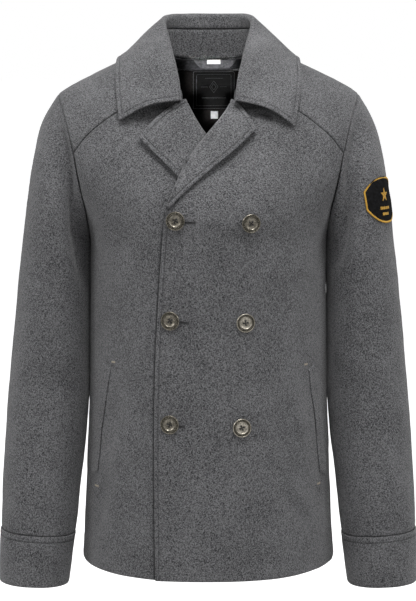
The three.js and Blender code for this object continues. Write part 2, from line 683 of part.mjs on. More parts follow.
for (const [hand, out] of [["left", 1], ["right", -1]]) {
  const place = (turn, t) => {
    const p = sleevePoint(turn, t);
    p.x *= out;
    return p;
  };
  const cut = { point: place, ws: SLEEVE_ROWS, turn: out, mitre: capMitre, gaps: { bottom: SEAM } };
  add(`sleeve_top_${hand}`, clothWall({ us: topTurns, ...cut }), wool);
  add(`sleeve_under_${hand}`, clothWall({ us: underTurns, ...cut }), wool);
  const cuff = (turn, t) => place(turn, t).addScaledVector(normalOf(place, turn, t, out), CUFF_PROUD);
  const round = steps(24, 0, 2 * PI).slice(0, -1);
  add(`cuff_${hand}`, clothWall({ point: cuff, us: round, ws: [CUFF_SEAM, 0.94, 1], turn: out, ring: true, gaps: { top: 0 } }), wool);
}

// The collar's stand and fall, and the lapels
const fallColumns = [...steps(2, STAND_SHARE, 1).slice(0, -1), ...steps(4, 1, 2).slice(0, -1), ...steps(5, 2, 3)];
const collarAlong = (v, u) => collarPoint(u, v);
const collarCut = { point: collarAlong, us: steps(24, -1, 1), thick: DOUBLE };
add("collar_stand", clothWall({ ...collarCut, thick: CLOTH, ws: steps(2, 0, STAND_SHARE), gaps: { bottom: 0, top: 1.1 } }), wool);
add("collar_fall", clothWall({ ...collarCut, ws: fallColumns, gaps: { top: 0 } }), wool);
for (const [hand, out] of [["left", 1], ["right", -1]]) {
  const lapel = foldedPoint(lapelFrame(hand), lapelLeaf(hand));
  const ws = [...steps(4, 1, 2).slice(0, -1), ...steps(4, 2, 3)];
  const gaps = { bottom: 0, top: 0, right: 1.2 };
  add(`lapel_${hand}`, clothWall({ point: (v, u) => lapel(u, v), us: steps(12), ws, thick: LAPEL_CLOTH, turn: -out, gaps }), wool);
}

// Pocket welts, on the fronts
for (const [hand, out] of [["left", 1], ["right", -1]]) {
  const point = (u, w) => {
    const start = mix(WELT.bottomX, WELT.topX, u);
    const end = mix(WELT.bottomOuterX, WELT.topOuterX, u);
    const z = mix(WELT.bottomZ, WELT.topZ, u) + WELT.endRise * w;
    return onFront(hand, out * mix(start, end, w), z, SEAM + WELT_CLOTH);
  };
  add(`pocket_welt_${hand}`, clothWall({ point, us: steps(8), ws: steps(3), thick: WELT_CLOTH, turn: -out, gaps: FLAT }), wool);
}

// Buttons: a dished disc with a raised rim and four holes, lying on the left front.
function solid(geometry) {
  const bare = new THREE.BufferGeometry().setAttribute("position", geometry.getAttribute("position"));
  bare.setIndex(geometry.getIndex());
  const merged = mergeVertices(bare, 1e-4);
  return new wasm.Manifold(
    new wasm.Mesh({
      numProp: 3,
      vertProperties: new Float32Array(merged.getAttribute("position").array),
      triVerts: new Uint32Array(merged.getIndex().array),
    }),
  );
}

function geometryOf(body) {
  const mesh = body.getMesh();
  const geometry = new THREE.BufferGeometry();
  geometry.setAttribute("position", new THREE.Float32BufferAttribute(mesh.vertProperties, 3));
  geometry.setIndex([...mesh.triVerts]);
  return geometry;
}

const buttonProfile = BUTTON.profile.map(([r, z]) => new THREE.Vector2(r, z));
let buttonBody = solid(new THREE.LatheGeometry(buttonProfile, 16).rotateX(QUARTER));
for (const turn of [0, 1, 2, 3]) {
  const hole = new THREE.CylinderGeometry(BUTTON.hole / 2, BUTTON.hole / 2, 3 * BUTTON.thick, 5).rotateX(QUARTER);
  const angle = (turn + 0.5) * QUARTER;
  hole.translate(BUTTON.holeRing * cos(angle), BUTTON.holeRing * sin(angle), 0);
  buttonBody = buttonBody.subtract(solid(hole));
}
const buttonShape = geometryOf(buttonBody);
for (const { name, x, z } of BUTTONS) {
  const seat = onFront("left", x, z, SEAM);
  const dx = onFront("left", x + 4, z, SEAM).sub(onFront("left", x - 4, z, SEAM));
  const dz = onFront("left", x, z + 4, SEAM).sub(onFront("left", x, z - 4, SEAM));
  const out = dx.cross(dz).normalize();
  const across = dz.clone().cross(out).normalize();
  const up = out.clone().cross(across);
  const place = new THREE.Matrix4().makeBasis(across, up, out);
  place.setPosition(seat.addScaledVector(out, BUTTON.seat));
  add(`button_${name}`, buttonShape.clone(), buttonMetal, place);
}

// Inside the neck. A point inside the back, at a height and a depth from the back's outer face.
function insideBack(x, z, depth) {
  const step = 0.5;
  const at = (px, pz) => bodyPoint(1, px, riseAt(px, pz));
  const dx = at(x + step, z).sub(at(x - step, z));
  const dz = at(x, z + step).sub(at(x, z - step));
  return at(x, z).addScaledVector(dx.cross(dz).normalize(), depth);
}

function liningDepth(point, depth) {
  return (u, w) => point(u, w).addScaledVector(normalOf(point, u, w, -1), -depth);
}

const facingLow = (x) => 1 - FACING_HEIGHT * (1 - 0.35 * (abs(x) / SIDE_NECK) ** 2);
const facingU = steps(8, -FACING_REACH, FACING_REACH);
const facingPoint = (u, w) => backPoint(u, mix(facingLow(backTop(u).x), 0.995, w));
add("neck_facing", clothWall({ point: liningDepth(facingPoint, CLOTH + FACING_GAP), us: facingU, ws: steps(2), thick: FACING_CLOTH, turn: -1, gaps: FLAT }), wool);

const liningTop = (u) => {
  const under = facingLow(backTop(u).x) - 0.006;
  return mix(under, LINING_TOP, ease((abs(u) - FACING_REACH / 2) * 6));
};
const liningPoint = (u, w) => {
  const above = max(0, (w - LAST_ROW) / (1 - LAST_ROW));
  return backPoint(u, w > LAST_ROW ? mix(LAST_ROW, liningTop(u), above) : w);
};
const liningRows = [LINING_LOW, ...BACK_UPPER];
const liningU = steps(22, -LINING_REACH, LINING_REACH);
add("lining_back", clothWall({ point: liningDepth(liningPoint, CLOTH + INNER_GAP), us: liningU, ws: liningRows, thick: LINING, turn: -1, gaps: FLAT }), liningBlack);

// A small flat piece inside the neck, from one height to another, with its face at a depth.
function flatInside(name, { x, wide, high, low, depth, thick, columns }, material, narrow = 0, sag = 0) {
  const point = (u, w) => {
    const half = (wide / 2) * (1 - narrow * (1 - w));
    const drop = sag * (1 - (2 * u - 1) ** 4);
    return insideBack(x + half * (2 * u - 1), mix(low, high, w) - drop, depth);
  };
  add(name, clothWall({ point, us: steps(columns), ws: steps(3), thick, turn: 1, gaps: FLAT }), material);
}

flatInside("neck_label", NECK_LABEL, labelBlack);
flatInside("size_tag", SIZE_TAG, tagGrey);
flatInside("hanger_loop", HANGER_LOOP, tapeGrey, HANGER_LOOP.narrow, HANGER_LOOP.sag);
flatInside("loop_tag", LOOP_TAG, labelWhite);

// The patch on the left sleeve
function shareAt(turn, z) {
  let low = 0;
  let high = 0.6;
  for (let pass = 0; pass < 24; pass++) {
    const middle = (low + high) / 2;
    if (sleevePoint(turn, middle).z > z) low = middle;
    else high = middle;
  }
  return low;
}

const patchPoint = (u, w) => {
  const turn = mix(BADGE.backTurn, BADGE.frontTurn, u);
  const half = (BADGE.high / 2) * (1 - BADGE.squeeze * abs(2 * u - 1) ** BADGE.squareness);
  const t = shareAt(turn, BADGE.z + half * (2 * w - 1));
  return sleevePoint(turn, t).addScaledVector(normalOf(sleevePoint, turn, t), SEAM + BADGE.thick);
};
add("sleeve_badge", clothWall({ point: patchPoint, us: steps(12), ws: steps(4), thick: BADGE.thick, turn: -1, gaps: FLAT }), badgeBlack);

export default coat;
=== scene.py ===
import math

import bmesh
import bpy
import numpy as np
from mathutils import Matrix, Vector


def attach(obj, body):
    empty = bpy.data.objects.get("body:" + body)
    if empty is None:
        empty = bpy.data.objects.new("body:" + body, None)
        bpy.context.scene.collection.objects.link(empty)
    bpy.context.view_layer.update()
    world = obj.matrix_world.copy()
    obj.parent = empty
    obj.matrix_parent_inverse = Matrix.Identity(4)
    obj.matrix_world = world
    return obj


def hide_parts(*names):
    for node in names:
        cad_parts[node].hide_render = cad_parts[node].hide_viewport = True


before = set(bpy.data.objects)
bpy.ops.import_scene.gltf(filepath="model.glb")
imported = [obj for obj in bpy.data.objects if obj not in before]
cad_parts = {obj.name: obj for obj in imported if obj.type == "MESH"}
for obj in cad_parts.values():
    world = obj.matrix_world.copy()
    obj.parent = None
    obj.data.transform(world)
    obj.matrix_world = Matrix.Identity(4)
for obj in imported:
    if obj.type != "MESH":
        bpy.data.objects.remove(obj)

bpy.ops.object.select_all(action="DESELECT")
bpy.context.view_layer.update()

# Camera, floor and studio light. The coat is seen straight on from the front, from a little
# above, over a plain pale floor, under broad soft lamps.
PHOTO_PIXELS_HIGH = 601
FOCAL_PIXELS = 2143
CAMERA_PITCH = 7.4
FLOOR_Z = -0.86
view_data = bpy.data.cameras.new("view")
view_data.sensor_fit = "VERTICAL"
view_data.sensor_height = SENSOR = 36.0
view_data.lens = SENSOR * FOCAL_PIXELS / PHOTO_PIXELS_HIGH
view = bpy.data.objects.new("view", view_data)
view.location = (-0.0004, -2.975, 0.0364)
view.rotation_euler = (math.radians(90 - CAMERA_PITCH), 0, 0)
bpy.context.collection.objects.link(view)
bpy.context.scene.camera = view

bpy.ops.mesh.primitive_plane_add(size=60, location=(0, 0, FLOOR_Z))
floor = bpy.context.object
floor.name = "floor"
floor_paint = bpy.data.materials.new("pale_floor")
floor_paint.use_nodes = True
floor_tree = floor_paint.node_tree
floor_shader = floor_tree.nodes["Principled BSDF"]
floor_shader.inputs["Base Color"].default_value = (0.62, 0.62, 0.62, 1)
floor_shader.inputs["Roughness"].default_value = 0.9
floor_glow = floor_tree.nodes.new("ShaderNodeEmission")
floor_glow.inputs["Strength"].default_value = 0.8
floor_sum = floor_tree.nodes.new("ShaderNodeAddShader")
floor_seen = floor_tree.nodes.new("ShaderNodeLightPath")
floor_mix = floor_tree.nodes.new("ShaderNodeMixShader")
floor_tree.links.new(floor_shader.outputs[0], floor_sum.inputs[0])
floor_tree.links.new(floor_glow.outputs[0], floor_sum.inputs[1])
floor_tree.links.new(floor_seen.outputs["Is Camera Ray"], floor_mix.inputs[0])
floor_tree.links.new(floor_shader.outputs[0], floor_mix.inputs[1])
floor_tree.links.new(floor_sum.outputs[0], floor_mix.inputs[2])
floor_tree.links.new(floor_mix.outputs[0], floor_tree.nodes["Material Output"].inputs["Surface"])
floor.data.materials.append(floor_paint)

studio = bpy.data.worlds.new("studio")
bpy.context.scene.world = studio
studio.use_nodes = True
sky = studio.node_tree
soft_light = sky.nodes["Background"]
soft_light.inputs["Color"].default_value = (1, 1, 1, 1)
soft_light.inputs["Strength"].default_value = 0.36
backdrop = sky.nodes.new("ShaderNodeBackground")
backdrop.inputs["Color"].default_value = (1, 1, 1, 1)
seen = sky.nodes.new("ShaderNodeLightPath")
either = sky.nodes.new("ShaderNodeMixShader")
sky.links.new(seen.outputs["Is Camera Ray"], either.inputs[0])
sky.links.new(soft_light.outputs[0], either.inputs[1])
sky.links.new(backdrop.outputs[0], either.inputs[2])
sky.links.new(either.outputs[0], sky.nodes["World Output"].inputs["Surface"])



def area_lamp(name, shape, place, target, watts):
    data = bpy.data.lights.new(name, "AREA")
    data.shape = shape
    data.energy = watts
    lamp = bpy.data.objects.new(name, data)
    lamp.location = place
    lamp.rotation_euler = (Vector(target) - Vector(place)).to_track_quat("-Z", "Y").to_euler()
    bpy.context.collection.objects.link(lamp)
    return data


COAT_MIDDLE = (0, 0, -0.3)
for lamp_name, place, width, watts in (
    ("left_lamp", (-2.5, -1.1, 1.3), 1.3, 24),
    ("right_lamp", (2.5, -1.1, 1.3), 1.3, 22),
    ("top_lamp", (0.1, -0.9, 2.4), 1.2, 66),
):
    area_lamp(lamp_name, "DISK", place, COAT_MIDDLE, watts).size = width
bpy.context.scene.view_settings.view_transform = "Standard"

# Two narrow beams fill the dark inside of the neck, from 0.6 m in front of it and a little above.
BEAM_POWER = 7.5
for lamp_name, middle, size in (
    ("neck_beam_high", (0.004, 0.1, -0.038), (0.066, 0.044)),
    ("neck_beam_low", (0.009, 0.11, -0.083), (0.024, 0.04)),
):
    place = (middle[0], middle[1] - 0.6, middle[2] + 0.027)
    beam = area_lamp(lamp_name, "RECTANGLE", place, middle, BEAM_POWER * size[0] * size[1])
    beam.size, beam.size_y = size
    beam.spread = math.radians(2)

# Coating wool. A heavy felted melton in grey: pale and dark fibres blended before spinning, so
# that it is flecked all over, with a short raised nap that lies in soft clumps.


def wire(tree, kind, inputs=None, **settings):
    node = tree.nodes.new(kind)
    for key, value in settings.items():
        setattr(node, key, value)
    for key, value in (inputs or {}).items():
        if isinstance(value, bpy.types.NodeSocket):
            tree.links.new(value, node.inputs[key])
        else:
            node.inputs[key].default_value = value
    return node


def start_group(name, takes, gives):
    """A new shader group with these sockets, each a name and a kind, and what its user puts in."""
    group = bpy.data.node_groups.new(name, "ShaderNodeTree")
    for way, sockets in (("INPUT", takes), ("OUTPUT", gives)):
        for socket, kind in sockets.items():
            group.interface.new_socket(name=socket, in_out=way, socket_type=f"NodeSocket{kind}")
    return group, wire(group, "NodeGroupInput").outputs


def surface_of(name, group, settings, height=(0.5, 0.0012), reads=("Color",), **colours):
    """A material whose shader has these plain settings and takes its look from a shader group."""
    material = bpy.data.materials.new(name)
    material.use_nodes = True
    tree = material.node_tree
    shader = tree.nodes["Principled BSDF"]
    for socket, value in settings.items():
        shader.inputs[socket].default_value = value
    look = wire(tree, "ShaderNodeGroup", node_tree=group)
    tree.links.new(wire(tree, "ShaderNodeTexCoord").outputs["Object"], look.inputs["Vector"])
    for socket, value in colours.items():
        look.inputs[socket].default_value = (*value, 1)
    strength, distance = height
    bump = {"Height": look.outputs["Height"], "Strength": strength, "Distance": distance}
    tree.links.new(wire(tree, "ShaderNodeBump", bump).outputs["Normal"], shader.inputs["Normal"])
    for socket in reads:
        tree.links.new(look.outputs[socket], shader.inputs["Base Color" if socket == "Color" else socket])
    return material


two_tones = {"Vector": "Vector", "Dark": "Color", "Pale": "Color"}
wool_fleck, given = start_group(
    "melton_fleck", {**two_tones, "PaintedShade": "Float"}, {"Color": "Color", "Height": "Float"}
)
strands = None
for lean, length in (
    ((0, 0.6, 0), (1250, 1250, 420)),
    ((0.5, -0.7, 0.4), (420, 1250, 1250)),
    ((-0.6, 0, 0.9), (1250, 440, 1250)),
):
    laid = wire(
        wool_fleck, "ShaderNodeMapping",
        {"Vector": given["Vector"], "Rotation": lean, "Scale": length},
    )
    strand = wire(
        wool_fleck, "ShaderNodeTexNoise",
        {"Vector": laid.outputs[0], "Scale": 1.0, "Detail": 2.0, "Roughness": 0.6},
    )
    if strands is None:
        strands = strand
    else:
        strands = wire(
            wool_fleck, "ShaderNodeMath", {0: strands.outputs[0], 1: strand.outputs[0]}, operation="ADD"
        )
clumps = wire(
    wool_fleck, "ShaderNodeTexNoise",
    {"Vector": given["Vector"], "Scale": 430.0, "Detail": 2.0, "Roughness": 0.6},
)
clouds = wire(
    wool_fleck, "ShaderNodeTexNoise",
    {"Vector": given["Vector"], "Scale": 21.0, "Detail": 2.0, "Roughness": 0.5},
)
both = wire(
    wool_fleck, "ShaderNodeMath",
    {0: clumps.outputs[0], 1: 0.55, 2: strands.outputs[0]}, operation="MULTIPLY_ADD",
)
all_three = wire(
    wool_fleck, "ShaderNodeMath",
    {0: clouds.outputs[0], 1: 0.2, 2: both.outputs[0]}, operation="MULTIPLY_ADD",
)
spread = wire(
    wool_fleck, "ShaderNodeMapRange",
    {"Value": all_three.outputs[0], "From Min": 1.655, "From Max": 2.085},
)
blend = wire(
    wool_fleck, "ShaderNodeMix",
    {0: spread.outputs[0], 6: given["Dark"], 7: given["Pale"]}, data_type="RGBA",
)
# Painted shade: where the shell's painted shade value is high, the wool's colour is mixed towards near black,
# standing in for shadow in seams, grooves, rim undersides and gaps.
PAINTED_SHADE_WOOL = (0.006, 0.006, 0.0065, 1)
painted_shade = wire(
    wool_fleck, "ShaderNodeMix",
    {0: given["PaintedShade"], 6: blend.outputs[2], 7: PAINTED_SHADE_WOOL}, data_type="RGBA",
)
wire(
    wool_fleck, "NodeGroupOutput",
    {"Color": painted_shade.outputs[2], "Height": both.outputs[0]},
)


wool_shine = {"Roughness": 0.92, "Specular IOR Level": 0.25, "Sheen Weight": 0.22, "Sheen Roughness": 0.45}
coat_wool = surface_of("coat_wool", wool_fleck, wool_shine, Dark=(0.016, 0.016, 0.0175), Pale=(0.215, 0.215, 0.223))
tree = coat_wool.node_tree
# Reads the painted shade laid on the points of each cloth shell.
painted_shade_reader = wire(tree, "ShaderNodeAttribute", attribute_name="painted_shade")
tree.links.new(painted_shade_reader.outputs["Fac"], tree.nodes["Group"].inputs["PaintedShade"])

# Form of the body, in millimetres. One smooth hollow shape of a general figure carries both
# fronts, the yokes and the back: rings of the body below the arms, arched over to the shoulder.
PI = math.pi
QUARTER = PI / 2
CLOTH = 2.2
SEAM = 0.3
UNDERARM = -252.0
HEM = -712.0
BODY_LENGTH = UNDERARM - HEM
SHOULDER_SEAM = QUARTER + 0.09


def curve(places, values):
    places = np.array(places, float)
    values = np.array(values, float)
    count = len(places)
    before = np.maximum(np.arange(count) - 1, 0)
    after = np.minimum(np.arange(count) + 1, count - 1)
    slopes = (values[after] - values[before]) / (places[after] - places[before])

    def read(at):
        i = np.clip(np.searchsorted(places, at, side="left") - 1, 0, count - 2)
        width = places[i + 1] - places[i]
        t = np.clip((at - places[i]) / width, 0, 1)
        rest = 1 - t
        ends = values[i] * rest**2 * (1 + 2 * t) + values[i + 1] * t**2 * (1 + 2 * rest)
        return ends + slopes[i] * width * t * rest**2 - slopes[i + 1] * width * t**2 * rest

    return read


def mix(a, b, t):
    return a + (b - a) * t


def ease(t):
    s = np.clip(t, 0, 1)
    return s * s * (3 - 2 * s)


def unit(v):
    return v / np.maximum(np.linalg.norm(v, axis=-1, keepdims=True), 1e-12)


def point(x, y, z):
    return np.stack(np.broadcast_arrays(x, y, z), axis=-1).astype(float)


ring_z = (-720, -600, -480, -360, -290, -252, -220, -172, -132, -90, 30)
ring_half = curve(ring_z, (177.5, 171.5, 167, 165, 164, 165, 176, 203, 219, 228, 230))
ring_front = curve(ring_z, (160, 156, 151, 149, 151, 151, 150, 144, 137, 132, 130))
ring_back = curve(ring_z, (147, 141, 132, 130, 135, 139, 141, 141, 140, 139, 138))
ridge_rows = curve((-78, 0, 78, 129, 171, 190, 208, 230), (3, 20, 3, -20, -40, -50, -62, -80))
armhole_rows = curve((0, 0.15, 0.26, 0.4, 0.575, 0.88, 1.2, QUARTER), (165, 167.5, 172, 178, 184, 195, 204, 208))


def ridge(x):
    return ridge_rows(np.abs(x))


def armhole_x(rise):
    return armhole_rows(np.minimum(rise, PI - rise))


def body_point(side, x, rise, past=False):
    side = np.where(rise > QUARTER, -side, side)
    rise = np.where(rise > QUARTER, PI - rise, rise)
    climb = np.where(rise > 0, np.sin(rise), 0)
    z = np.where(rise > 0, UNDERARM + (ridge(x) - UNDERARM) * climb, UNDERARM + BODY_LENGTH * rise)
    front = side < 0
    deep = np.where(front, ring_front(z), ring_back(z))
    full = np.where(front, 2.3, 2.6)
    ring = np.sqrt(np.maximum(0, 1 - np.abs(x / ring_half(z)) ** 2.4)) * np.where(past, -1, 1)
    arch = np.sqrt(np.maximum(0, 1 - climb**full))
    slope = np.where(front, 1 - 0.22 * np.exp(-((x / 95) ** 2)) * ease((z + 230) / 150), 1)
    return point(x, side * deep * ring * arch * slope + 8 * climb * climb, z)


def rise_at(x, z):
    share = np.clip((z - UNDERARM) / (ridge(x) - UNDERARM), 0, 1)
    return np.where(z <= UNDERARM, (z - UNDERARM) / BODY_LENGTH, np.arcsin(share))


def lap_offset(x, z):
    below = 1 - ease((z + 106) / 38)
    side = 1 - ease((x - 72) / 80)
    over_lapel = ease((z + 256) / 38) * (1 - ease((x - 62) / 70))
    return (2.8 * side + 4.7 * over_lapel) * below


def on_front(hand, x, z, lift):
    def at(px, pz):
        return body_point(-1, px, rise_at(px, pz))

    across = at(x + 0.5, z) - at(x - 0.5, z)
    up = at(x, z + 0.5) - at(x, z - 0.5)
    away = lift + (lap_offset(x, z) if hand == "left" else 0)
    return at(x, z) + unit(np.cross(across, up)) * np.asarray(away)[..., None]


def normal_of(surface, u, w, turn=1):
    step = 1e-3
    du = surface(u + step, w) - surface(u - step, w)
    dw = surface(u, w + step) - surface(u, w - step)
    return unit(np.cross(du, dw)) * turn


# Fronts. Two panels of the wool, cut from the lap edge to the side seam: the wearer's left laps
# over the right. Each is a shell as thick as the cloth, with rolled rims at its seams and edges.
yoke_x = (34.5, 62, 95, 129, 150, 167, 184)
yoke_rise_rows = curve(yoke_x, (0.775, 0.84, 0.835, 0.79, 0.738, 0.675, 0.575))
lap_edges = {
    "left": curve(
        (-720, -560, -450, -350, -250, -221, -205, -186, -164, -137, -118, -91, -64.8, -40),
        (-71.5, -72.5, -71.5, -67.5, -60.5, -56, -50, -41.5, -32, -15, 1.2, 22.4, 35.5, 45),
    ),
    "right": curve(
        (-720, -350, -250, -212, -198, -169, -137, -115.5, -90, -64.8, -40),
        (62, 60, 60, 55, 49.5, 33, 10.5, -5.5, -22, -34.5, -45),
    ),
}


def yoke_rise(x):
    return yoke_rise_rows(np.abs(x))


def front_surface(hand):
    out = 1 if hand == "left" else -1
    edge = lap_edges[hand]

    def surface(u, w):
        u, w = np.broadcast_arrays(np.asarray(u, float), np.asarray(w, float))
        x = np.full(w.shape, out * 34.5)
        for _ in range(12):
            above = UNDERARM + (ridge(x) - UNDERARM) * np.sin(np.maximum(w, 0) * 0.775)
            x = edge(np.where(w > 0, above, UNDERARM + BODY_LENGTH * w))
        start = x * out
        reach = np.where(w > 0, armhole_x(np.maximum(w, 0) * 0.575), ring_half(UNDERARM + BODY_LENGTH * w))
        turn_end = QUARTER - 0.42 * ease(w)
        scale = reach / np.sin(turn_end)
        turn = mix(np.arcsin(np.clip(start / scale, -1, 1)), turn_end, u)
        x = scale * np.sin(turn)
        top_x = mix(34.5, 184, (x - start) / (reach - start))
        rise = np.where(w > 0, w * yoke_rise(top_x), w)
        p = body_point(-1, x * out, rise, turn > QUARTER)
        if hand == "right":
            return p
        lifted = on_front("left", p[..., 0], p[..., 2], 0)
        return np.where((lap_offset(p[..., 0], p[..., 2]) < 1e-6)[..., None], p, lifted)

    return surface


def along_line(points, axis):
    run = np.linalg.norm(np.diff(points, axis=axis), axis=-1)
    zero = np.zeros_like(np.take(run, [0], axis=axis))
    return np.concatenate([zero, np.cumsum(run, axis=axis)], axis=axis)


def stations(length, near, far, count):
    """Distances along a line: the given ones from each end, and count even steps between."""
    far = length - np.array(far[::-1], float)
    return np.concatenate([near, np.linspace(near[-1], far[0], count + 1)[1:-1], far])


def lay_out(surface, us, ws, u_near, u_far, w_near, w_far, step=6.0, row_step=None):
    """The u and w of a grid of points whose rows and columns keep their distances from the edges."""
    fine_u = np.linspace(*us, 161)
    fine_w = np.linspace(*ws, 321)
    run = along_line(surface(*np.meshgrid(fine_u, fine_w, indexing="ij")), 1)
    count = max(2, round((float(np.median(run[:, -1])) - w_near[-1] - w_far[-1]) / (row_step or step)))
    rows = np.array([np.interp(stations(r[-1], w_near, w_far, count), r, fine_w) for r in run])
    lines = surface(np.broadcast_to(fine_u[:, None], rows.shape), rows)
    run = along_line(lines, 0)
    count = max(2, round((float(np.median(run[-1])) - u_near[-1] - u_far[-1]) / step))
    u = np.array([np.interp(stations(r[-1], u_near, u_far, count), r, fine_u) for r in run.T]).T
    w = np.array([np.interp(u[:, j], fine_u, rows[:, j]) for j in range(rows.shape[1])]).T
    return u, w


def waves(p, length, seed):
    """A smooth unevenness between about -1 and 1, of waves of this length in all directions."""
    luck = np.random.RandomState(seed)
    total = 0
    for _ in range(7):
        way = luck.normal(size=3)
        way /= np.linalg.norm(way)
        total = total + np.sin(p @ way * (2 * PI / length) * luck.uniform(0.7, 1.4) + luck.uniform(0, 2 * PI))
    return total / 2.6


def unevenness(p):
    return 0.35 * waves(p, 75, 8) + 0.14 * waves(p, 28, 9)


def bell(distance, width):
    return np.exp(-((distance / width) ** 2))


# Soft creases, as they hang in the photograph: side (-1 front, 1 back), the line's places across
# and up, height and half width.
creases = [
    (-1, ((-84, -372), (-95, -428), (-106, -483), (-118, -553), (-130, -624), (-152, -690)), 2.6, 11),
    (-1, ((-135, -520), (-143, -586), (-152, -645), (-162, -700)), -2.6, 9),
    (-1, ((-103, -469), (-120, -526), (-138, -585)), 1.1, 7),
    (-1, ((-88, -560), (-93, -630), (-96, -705)), -1.0, 14),
    (-1, ((99, -360), (109, -415), (119, -471), (128, -528), (131, -583)), 2.0, 10),
    (-1, ((88, -440), (99, -520), (108, -572)), -1.4, 9),
    (-1, ((84, -521), (106, -576), (131, -617), (156, -652)), 2.0, 9),
    (-1, ((86, -545), (107, -600), (130, -641), (150, -672)), -1.7, 8),
    (-1, ((-152, -205), (-138, -252), (-120, -312)), 1.5, 10),
    (-1, ((-164, -232), (-150, -285), (-140, -330)), -1.5, 8),
    (-1, ((150, -210), (140, -262), (126, -318)), 1.3, 10),
    (-1, ((163, -240), (151, -292)), -1.4, 8),
    (-1, ((20, -600), (14, -660), (16, -712)), 1.0, 16),
    (1, ((-120, -190), (-96, -262), (-84, -330)), 2.0, 13),
    (1, ((118, -180), (90, -250), (82, -322)), 1.8, 12),
    (1, ((-60, -420), (-72, -520), (-70, -640), (-78, -712)), 2.2, 15),
    (1, ((64, -440), (58, -540), (70, -650), (72, -712)), 2.0, 14),
    (1, ((-30, -330), (0, -322), (34, -334)), -1.6, 10),
    (1, ((150, -250), (128, -300), (98, -336)), -1.8, 9),
    (1, ((-150, -256), (-124, -304), (-96, -342)), -1.6, 10),
]


def crease_relief(p, lines):
    relief = np.zeros(p.shape[:-1])
    for side, line, height, width in lines:
        line = np.array(line, float)
        run = np.concatenate([[0], np.cumsum(np.linalg.norm(np.diff(line, axis=0), axis=1))])
        at = np.linspace(0, run[-1], 40)
        smooth = np.stack([curve(run, line[:, k])(at) for k in (0, 1)], axis=1)
        gap = np.hypot(p[..., 0, None] - smooth[:, 0], p[..., 2, None] - smooth[:, 1])
        nearest = gap.argmin(axis=-1)
        fade = np.sin(PI * np.clip((nearest + 1) / 41, 0, 1)) ** 0.6
        relief += height * bell(gap.min(axis=-1), width) * fade * ease((side * p[..., 1] - 10) / 40)
    return relief


